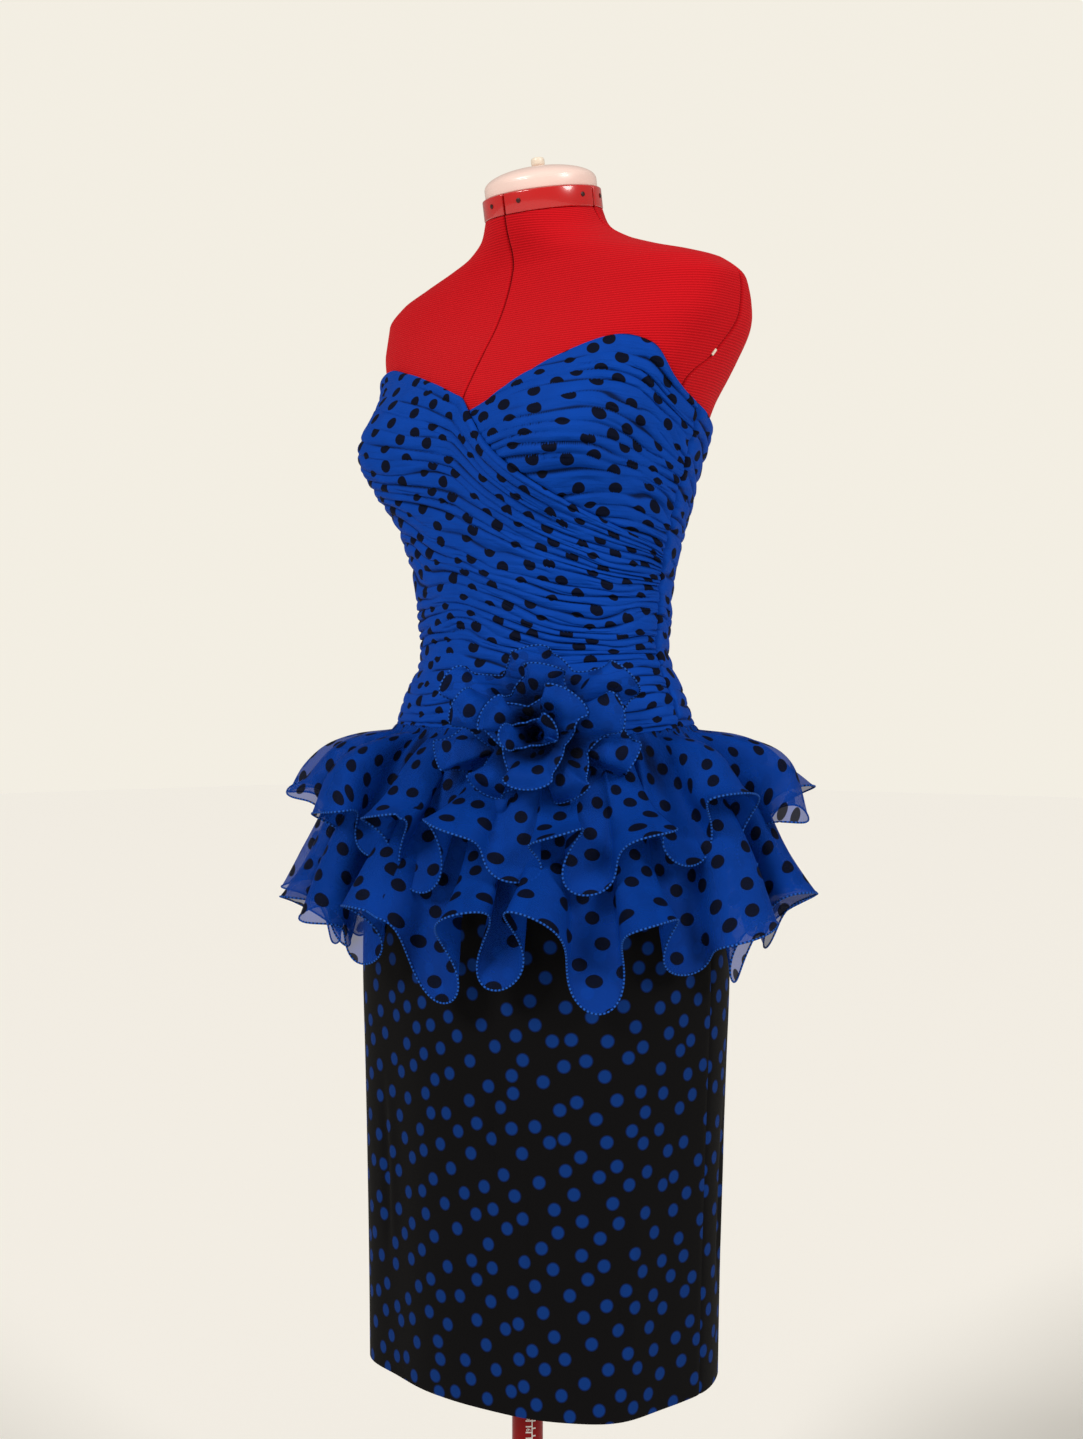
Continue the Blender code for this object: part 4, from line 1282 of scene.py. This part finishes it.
def cylinder(name: str, radius: float, foot: float, top: float, vertices: int = 96) -> Object:
    """An upright cylinder on the origin's axis."""
    cleared()
    middle = (0.0, 0.0, (foot + top) / 2.0)
    bpy.ops.mesh.primitive_cylinder_add(vertices=vertices, radius=radius, depth=top - foot, location=middle)
    return named(name)


def dome(name: str, radius: float, foot: float, rise: float, segments: int = 96) -> Object:
    """A flattened ball on the origin's axis, its widest line at the foot."""
    cleared()
    bpy.ops.mesh.primitive_uv_sphere_add(
        segments=segments, ring_count=segments // 2, radius=1.0,
        location=(0.0, 0.0, foot), scale=(radius, radius, rise),
    )
    made = named(name)
    bpy.ops.object.shade_smooth()
    return made


def joined(first: Object, *others: Object) -> Object:
    """Join objects into the first one."""
    cleared()
    for each in (first, *others):
        each.select_set(True)
    bpy.context.view_layer.objects.active = first
    bpy.ops.object.join()
    return first


def moved_by(made: Object, matrix: Matrix) -> Object:
    """Move an object by a matrix and settle it into its mesh."""
    cleared()
    made.select_set(True)
    bpy.context.view_layer.objects.active = made
    made.matrix_world = matrix @ made.matrix_world
    bpy.ops.object.transform_apply(location=True, rotation=True, scale=True)
    return made


def made_by(finish: object) -> Material:
    """A dataclass field whose material is built from a finish with the object."""
    return field(default_factory=finish.build)


@dataclass
class Finishes:
    """All the finishes, built once."""

    lined: Material = made_by(Chiffon("blue_chiffon_lined", 1.0, streaks=0.9))
    sheer: Material = made_by(Chiffon("blue_chiffon_sheer", 0.75, blue=(0.0012, 0.043, 0.31, 1.0)))
    thread: Material = made_by(Thread())
    black: Material = made_by(BlackChiffon())
    knit: Material = made_by(RedKnit())
    gloss: Material = made_by(Plain("red_gloss_plastic", (0.50, 0.005, 0.006, 1.0), 0.22, coat=0.5))
    cap: Material = made_by(Plain("pale_plastic", (0.83, 0.62, 0.56, 1.0), 0.32, coat=0.2))
    knob: Material = made_by(Plain("cream_plastic", (0.78, 0.68, 0.56, 1.0), 0.35))
    screw: Material = made_by(Plain("dark_screw", (0.05, 0.012, 0.010, 1.0), 0.4, 0.5))
    base: Material = made_by(Plain("base_enamel", (0.040, 0.040, 0.045, 1.0), 0.60))
    pole: Material = made_by(ScaledPole())
    print_white: Material = made_by(Plain("printed_white", (0.80, 0.76, 0.72, 1.0), 0.5))


def put(made: Object, material: Material, body: str) -> Object:
    """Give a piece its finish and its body.

    Args:
        made: The piece, in place.
        material: Its finish.
        body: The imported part's body that it moves with.

    Returns:
        The piece.
    """
    made.data.materials.clear()
    made.data.materials.append(material)
    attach(made, body)
    log.info("%s: %d faces", made.name, len(made.data.polygons))
    return made


@dataclass
class Stand:
    """The round base and the pole with its scale."""

    finishes: Finishes
    base_radius: float = 0.190
    base_thickness: float = 0.018
    hub_radius: float = 0.030
    hub_top: float = 0.070
    pole_radius: float = 0.0135
    pole_foot: float = 0.0203
    pole_top: float = 0.850
    number_pitch: float = 0.010
    number_size: float = 0.0055
    number_rise: float = 0.0034
    number_aside: float = -0.0030
    first_number: int = 8
    last_number: int = 45
    facing: float = 59.5

    def build(self) -> None:
        """The base, the pole and the numbers."""
        base = edged(cylinder("base_disc", self.base_radius, 0.0, self.base_thickness, 160), 0.004, 5)
        cleared()
        bpy.ops.mesh.primitive_cone_add(
            vertices=96, radius1=self.hub_radius + 0.012, radius2=self.hub_radius, depth=0.016,
            location=(0.0, 0.0, self.base_thickness + 0.008),
        )
        skirt = edged(named("hub_skirt"), 0.0005, 2)
        hub = edged(cylinder("hub", self.hub_radius, self.base_thickness + 0.010, self.hub_top), 0.004, 5)
        put(joined(base, skirt, hub), self.finishes.base, "stand")
        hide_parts("stand_base")
        pole = edged(cylinder("pole_tube", self.pole_radius, self.pole_foot, self.pole_top), 0.001, 3)
        put(pole, self.finishes.pole, "stand")
        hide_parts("pole")
        self.numbers()

    def numbers(self) -> None:
        """The scale's plain numbers, the last digit of each centimetre, laid on the pole."""
        made = []
        for step in range(self.first_number, self.last_number + 1):
            cleared()
            bpy.ops.object.text_add(location=(0.0, 0.0, 0.0))
            text = bpy.context.object
            text.data.body = str(step % 10)
            text.data.size = self.number_size
            text.data.align_y = "CENTER"
            bpy.ops.object.convert(target="MESH")
            self.lay(text.data, self.number_pitch * step + self.number_rise)
            text.name = f"scale_number_{step}"
            made.append(text)
        numbers = joined(*made)
        numbers.name = "scale_numbers"
        put(numbers, self.finishes.print_white, "stand")

    def lay(self, mesh: bpy.types.Mesh, height: float) -> None:
        """Lay flat lettering sideways on the pole, from a height upwards."""
        radius = self.pole_radius + 0.00015
        for vertex in mesh.vertices:
            turn = math.radians(self.facing) + (self.number_aside - vertex.co.y) / radius
            vertex.co = (radius * math.sin(turn), -radius * math.cos(turn), height + vertex.co.x)


@dataclass
class Form:
    """The limbless dress form: knit cover with its open splits, neck band, cap and knob."""

    finishes: Finishes
    side_split: SmoothCurve = SmoothCurve((
        (1.17, 85.0), (1.188, 86.0), (1.2146, 93.5), (1.25, 98.0), (1.353, 98.0),
    ))
    split_half_width: float = 0.9
    split_depth: float = 0.0026
    dress_top: float = 1.150
    seat_gap: float = 0.0003
    band_height: float = 0.018
    band_wall: float = 0.010
    cap_radius: float = 0.0495
    cap_height: float = 0.024
    knob_radius: float = 0.006
    knob_height: float = 0.008
    foot: float = 0.700
    band_splits: tuple = (1.0, 99.0, 181.0, 261.0)
    band_split_half_width: float = 0.99
    screws: tuple = (-16.0, 18.0, 83.0, 115.0, 165.0, 197.0, 245.0, 277.0)
    tab_height: float = 1.2150
    tab_size: tuple = (0.0026, 0.0062, 0.0016)

    def build(self) -> None:
        """All the form's pieces."""
        self.cover()
        self.underside()
        for side in (1.0, -1.0):
            self.tab(side)
        self.neck()

    def cover(self) -> None:
        """The stretched knit cover, open at the neck and the foot, parted by four splits."""
        fine = (0.0, 0.02, 0.05, 0.10, 0.16, 0.26, 0.50, 0.95, 1.5)
        broad = (0.0, 0.2, 0.4, 0.6, 0.9, 1.3, 2.0, 3.0)
        left, right = LINES.side_seam, 360.0 - LINES.side_seam
        beside = {0.0: fine, left: broad, 180.0: fine, right: broad}
        dense = {at + way * step for at, steps in beside.items() for step in steps for way in (-1, 1)}
        plain = {a for a in np.arange(2.5, 360.0, 2.5) if min(abs(wrapped(a - at)) for at in beside) > 3.4}
        base = np.array(sorted(dense | plain))
        covered = np.linspace(self.foot, self.dress_top, 60, endpoint=False)
        heights = np.concatenate((covered, np.linspace(self.dress_top, FORM.neck_foot, 110)))
        height, angle = np.meshgrid(heights[::-1], base, indexing="ij")
        side = self.side_split(height)
        angle = angle + (side - left) * (bump(angle - left, 14.0) - bump(angle - right, 14.0))
        middle = FORM.point(angle, height)
        splits = (0.0 * side, side, 180.0 + 0.0 * side, 360.0 - side)
        apart = np.min([np.linalg.norm(middle - FORM.point(s, height), axis=-1) for s in splits], axis=0) / MM
        out = 0.0004 * bump(apart - 3.0, 2.0) - self.split_depth * bump(apart, self.split_half_width)
        points = FORM.skin(angle, height, out + self.stump(angle, height))
        u = np.append(angle, angle[:, :1] + 360.0, axis=1) * 0.0024
        flat = np.stack((u, np.append(height, height[:, :1], axis=1)), axis=-1)
        # the third value is painted shade along the splits, by which the knit darkens
        grid = ClothGrid(points, flat, bump(apart, 0.75), closed=True)
        cover = put(grid.build("knit_cover"), self.finishes.knit, "form")
        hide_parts("torso")

    @staticmethod
    def stump(angle: Array, height: Array) -> Array:
        """How far the knit bulges behind the side splits, at the shoulder stumps."""
        return 0.009 * bump(np.abs(wrapped(angle)) - 121.0, 26.0) * bump(height - 1.247, 0.052)

    def underside(self) -> None:
        """The flat plate that closes the form's foot round the pole."""
        half_width, widest, front, back = FORM.sections.rows[0][1:5]
        plate = cylinder("form_underside", 1.0, -0.5, 0.5, 128)
        place = Matrix.Translation((0.0, (back - front) / 2.0, self.foot + 0.003))
        size = Matrix.Diagonal((half_width - 0.001, (front + back) / 2.0 - 0.001, 0.005, 1.0))
        moved_by(plate, place @ size)
        hole = cylinder("pole_hole", 0.0140, self.foot - 0.02, self.foot + 0.03, 96)
        with_modifier(plate, "BOOLEAN", object=hole, operation="DIFFERENCE", solver="EXACT")
        bpy.data.objects.remove(hole, do_unlink=True)
        put(edged(plate, 0.0008, 2), self.finishes.gloss, "form")

    def tab(self, side: float) -> None:
        """The small pale tab that shows in the side split."""
        height = np.array(self.tab_height)
        angle = side * (float(self.side_split(height)) - 0.6)
        spot = Vector(FORM.skin(np.array(angle), height, 0.0006 + self.stump(np.array(angle), height)))
        out = Vector(FORM.normal(np.array(angle), height))
        along = Vector(FORM.point(self.side_split(height + 0.01) * side, height + 0.01)) - Vector(
            FORM.point(self.side_split(height) * side, height)
        )
        along = (along - out * along.dot(out)).normalized()
        turned = Matrix((out.cross(along), along, out)).transposed().to_4x4()
        cleared()
        bpy.ops.mesh.primitive_cube_add(size=1.0, scale=self.tab_size)
        tab = edged(named("split_tab_left" if side > 0.0 else "split_tab_right"), 0.0006, 3)
        put(moved_by(tab, Matrix.Translation(spot) @ turned), self.finishes.knob, "form")

    def neck(self) -> None:
        """The split band with its screws, the domed cap and the knob."""
        neck_radius = FORM.sections.rows[-1][1]
        place = FORM.neck_frame()
        foot = self.seat_gap
        cleared()
        bpy.ops.mesh.primitive_cylinder_add(
            vertices=180, radius=neck_radius + 0.001, depth=self.band_height, end_fill_type="NOTHING",
            location=(0.0, 0.0, foot + self.band_height / 2.0),
        )
        band = named("neck_band_cover")
        bpy.ops.object.mode_set(mode="EDIT")
        bpy.ops.mesh.select_mode(type="FACE")
        bpy.ops.mesh.select_all(action="DESELECT")
        bpy.ops.object.mode_set(mode="OBJECT")
        for face in band.data.polygons:
            turn = math.degrees(math.atan2(face.center.x, -face.center.y))
            face.select = any(abs(wrapped(turn - at)) < self.band_split_half_width for at in self.band_splits)
        bpy.ops.object.mode_set(mode="EDIT")
        bpy.ops.mesh.delete(type="FACE")
        bpy.ops.object.mode_set(mode="OBJECT")
        with_modifier(band, "SOLIDIFY", thickness=self.band_wall, offset=-1.0)
        moved_by(edged(band, 0.0012, 3), place)
        put(band, self.finishes.gloss, "form")
        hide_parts("neck_band")
        out = neck_radius + 0.0009
        for k, turn in enumerate(self.screws):
            angle = math.radians(turn)
            cleared()
            bpy.ops.mesh.primitive_cylinder_add(
                vertices=24, radius=0.0021, depth=0.0016, rotation=(math.pi / 2.0, 0.0, angle),
                location=(out * math.sin(angle), -out * math.cos(angle), foot + 0.010),
            )
            screw = moved_by(edged(named(f"neck_screw_{k}"), 0.0004, 2), place)
            put(screw, self.finishes.screw, "form")
        cap_foot = foot + self.band_height + self.seat_gap
        rim = edged(cylinder("neck_cap_cover", self.cap_radius, cap_foot, cap_foot + 0.010, 128), 0.0012, 3)
        rise = self.cap_height - 0.0088
        cap = joined(rim, dome("cap_dome", self.cap_radius - 0.0002, cap_foot + 0.0088, rise))
        put(moved_by(cap, place), self.finishes.cap, "form")
        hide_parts("neck_cap")
        knob_foot = cap_foot + self.cap_height + self.seat_gap
        knob = cylinder("neck_knob_cover", self.knob_radius, knob_foot, knob_foot + self.knob_height, 64)
        put(moved_by(edged(knob, 0.0028, 5), place), self.finishes.knob, "form")
        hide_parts("neck_knob")


# The dress's pieces in the scene


@dataclass
class Dress:
    """All the cloth pieces of the dress, each with the width and length of its flat cut in metres.

    PANELS has each panel's pleat widths, rows and columns; TIERS the peplum's two tiers.
    """

    finishes: Finishes

    PANELS: ClassVar[tuple] = (
        (Panel.WRAP, (
            8, 12, 9, 7, 13, 10, 8, 14, 9, 7, 12, 15, 8, 10, 7, 13, 16, 9, 8, 12, 7, 10, 14, 8, 11,
            7, 13, 9, 11, 8
        ), 400, 240, (0.52, 0.31)),
        (Panel.CUP, (7, 10, 6, 8, 12, 6, 9, 7, 11, 6, 8, 10, 6, 9, 7, 8), 230, 220, (0.26, 0.14)),
        (Panel.BACK_LEFT, (
            12, 9, 14, 10, 13, 16, 9, 12, 15, 10, 11, 14, 9, 12, 15, 10, 13, 9, 12, 11
        ), 280, 104, (0.21, 0.31)),
        (Panel.BACK_RIGHT, (
            10, 13, 9, 12, 15, 9, 11, 14, 12, 9, 16, 10, 13, 11, 9, 14, 12, 10, 15, 9
        ), 280, 104, (0.21, 0.31)),
    )
    TIERS: ClassVar[tuple] = (
        (Tier(
            "peplum_upper",
            ((0, 0), (4, 5), (38, 8), (72, 17), (92, 34), (101, 60)),
            ((0, 0), (5, 8), (18, 32), (33, 72), (46, 114)),
            ((0, 0), (5, 8), (16, 30), (44, 58), (84, 76)),
            0.0048,
            (12, -14, 9, 15, -12, 6, -14, 13, -8, 15, -12, 5, 14, -11, 9, -14, 7),
            (2, 8, -3, 5, 9, -2, 4, 7, -4, 6, 2, 8, -3, 5, 7, -2, 6),
            (14, -6, 20, 2, 24, -8, 16, 22, -4, 18, 3, 24, -7, 19, 4, 22, -5),
            1.0, 58,
        ), (1.75, 0.12)),
        (Tier(
            "peplum_lower",
            ((0, 0), (4, 8), (34, 26), (68, 62), (92, 104), (110, 150)),
            ((0, 0), (4.5, 12), (15, 42), (28, 88), (37, 146), (41, 204)),
            ((0, 0), (4.5, 12), (14, 38), (36, 80), (68, 112), (100, 142)),
            0.0034,
            (-12, 14, -15, 9, 14, -13, 11, -8, 15, -14, 9, -15, 12, 8, -14, 11, -9),
            (6, 0, 9, -3, 5, 8, -4, 6, 2, 9, -3, 7, 4, -2, 8, 3, 6),
            (-5, 22, 4, 20, -8, 18, 24, 2, 20, -6, 14, 23, -4, 19, 5, 22, -7),
            2.0, 74,
        ), (1.95, 0.20)),
    )
    ROSETTE: ClassVar[Rosette] = Rosette()
    RING_CUTS: ClassVar[dict] = {
        "rosette_outer": (0.42, 0.072), "rosette_middle": (0.26, 0.062),
        "rosette_inner": (0.15, 0.056), "rosette_bud": (0.055, 0.052),
    }

    def build(self) -> None:
        """Every cloth piece, with the area of its flat cut logged."""
        for seed, (panel, widths, rows, columns, cut) in enumerate(self.PANELS, 1):
            grid = BodicePanel(panel, Ruching(widths, seed=float(seed)), rows, columns).grid()
            self.declare(
                grid, panel.value, self.finishes.lined, cut,
            )
        for tier, cut in self.TIERS:
            grid = tier.grid()
            hem = self.edge(f"{tier.node}_hem", grid.points[-1], 0.0008)
            self.declare(
                grid, tier.node, self.finishes.sheer, cut,
            )
        place = self.ROSETTE.frame()
        for ring in self.ROSETTE.rings:
            grid = ring.grid(place)
            hem = self.edge(f"{ring.node}_hem", grid.points[-1], 0.0007)
            self.declare(
                grid, ring.node, self.finishes.sheer, self.RING_CUTS[ring.node],
            )
        side = LINES.side_seam
        for node, first, last in (("skirt_front", -side, side), ("skirt_back", side, 360.0 - side)):
            grid = SKIRT.grid(first, last)
            self.declare(grid, node, self.finishes.black, (0.5, 0.56))

    def edge(self, name: str, path: Array, radius: float) -> Object:
        """A stitched edge along the end of a ruffle."""
        return put(Cording(radius).build(name, path), self.finishes.thread, "form")

    def declare(
        self, grid: ClothGrid, node: str, material: Material,
        cut: tuple,
    ) -> None:
        """Put one cloth piece in the place of its CAD node and log its surface and the area of its flat cut.

        Args:
            grid: The cloth's points.
            node: The CAD node that it stands for.
            material: Its finish.
            cut: Width and length of the flat piece, in metres.
        """
        made = put(grid.build(f"{node}_cloth"), material, "form")
        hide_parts(node)
        log.info("%s: surface %.4f m2, flat %.4f m2", node, grid.area(), cut[0] * cut[1])


# The studio


@dataclass
class Studio:
    """Floor, light and camera as in the photo."""

    azimuth: float = 42.0
    distance: float = 1.72
    height: float = 0.91
    aside: float = 0.0122
    lens: float = 49.3
    lights: tuple = (("light_left", -0.95, 1.0, 0.90, 2.05), ("light_right", 1.15, 1.0, 0.75, 1.75))
    light_width: float = 20.0
    sky_light: float = 0.33
    sky_seen: float = 0.90

    def build(self) -> None:
        """The floor, the lights, the background light and the camera."""
        cleared()
        bpy.ops.mesh.primitive_plane_add(size=40.0, location=(0.0, 0.0, -0.0006))
        floor = named("floor")
        floor.data.materials.append(Plain("pale_floor", (0.965, 0.948, 0.912, 1.0), 1.0).build())
        turn = math.radians(self.azimuth)
        right = Vector((math.cos(turn), math.sin(turn), 0.0))
        back = Vector((math.sin(turn), -math.cos(turn), 0.0))
        for name, across, out, up, power in self.lights:
            lamp = bpy.data.lights.new(name, "SUN")
            lamp.energy = power
            lamp.angle = math.radians(self.light_width)
            lamp.color = (1.0, 0.975, 0.94)
            made = bpy.data.objects.new(name, lamp)
            towards = right * across + back * out + Vector((0.0, 0.0, up))
            made.rotation_euler = towards.to_track_quat("Z", "Y").to_euler()
            bpy.context.collection.objects.link(made)
        self.sky()
        camera = bpy.data.objects.new("camera", bpy.data.cameras.new("camera"))
        camera.data.lens = self.lens
        camera.data.sensor_width = 36.0
        camera.location = back * self.distance + right * self.aside + Vector((0.0, 0.0, self.height))
        camera.rotation_euler = (-back).to_track_quat("-Z", "Y").to_euler()
        bpy.context.collection.objects.link(camera)
        bpy.context.scene.camera = camera
        bpy.context.scene.view_settings.view_transform = "Standard"

    def sky(self) -> None:
        """A pale background whose light on the scene is softer than it looks."""
        world = bpy.data.worlds.new("soft_light")
        world.use_nodes = True
        tree = world.node_tree
        ground = tree.nodes["Background"]
        ground.inputs["Color"].default_value = (0.996, 0.952, 0.852, 1.0)
        seen = tree.nodes.new("ShaderNodeLightPath").outputs["Is Camera Ray"]
        strength = tree.nodes.new("ShaderNodeMapRange")
        strength.inputs["To Min"].default_value = self.sky_light
        strength.inputs["To Max"].default_value = self.sky_seen
        tree.links.new(seen, strength.inputs["Value"])
        tree.links.new(strength.outputs["Result"], ground.inputs["Strength"])
        bpy.context.scene.world = world


def main() -> None:
    """Build the whole scene."""
    finishes = Finishes()
    Stand(finishes).build()
    Form(finishes).build()
    Dress(finishes).build()
    Studio().build()


if __name__ == "__main__":
    main()
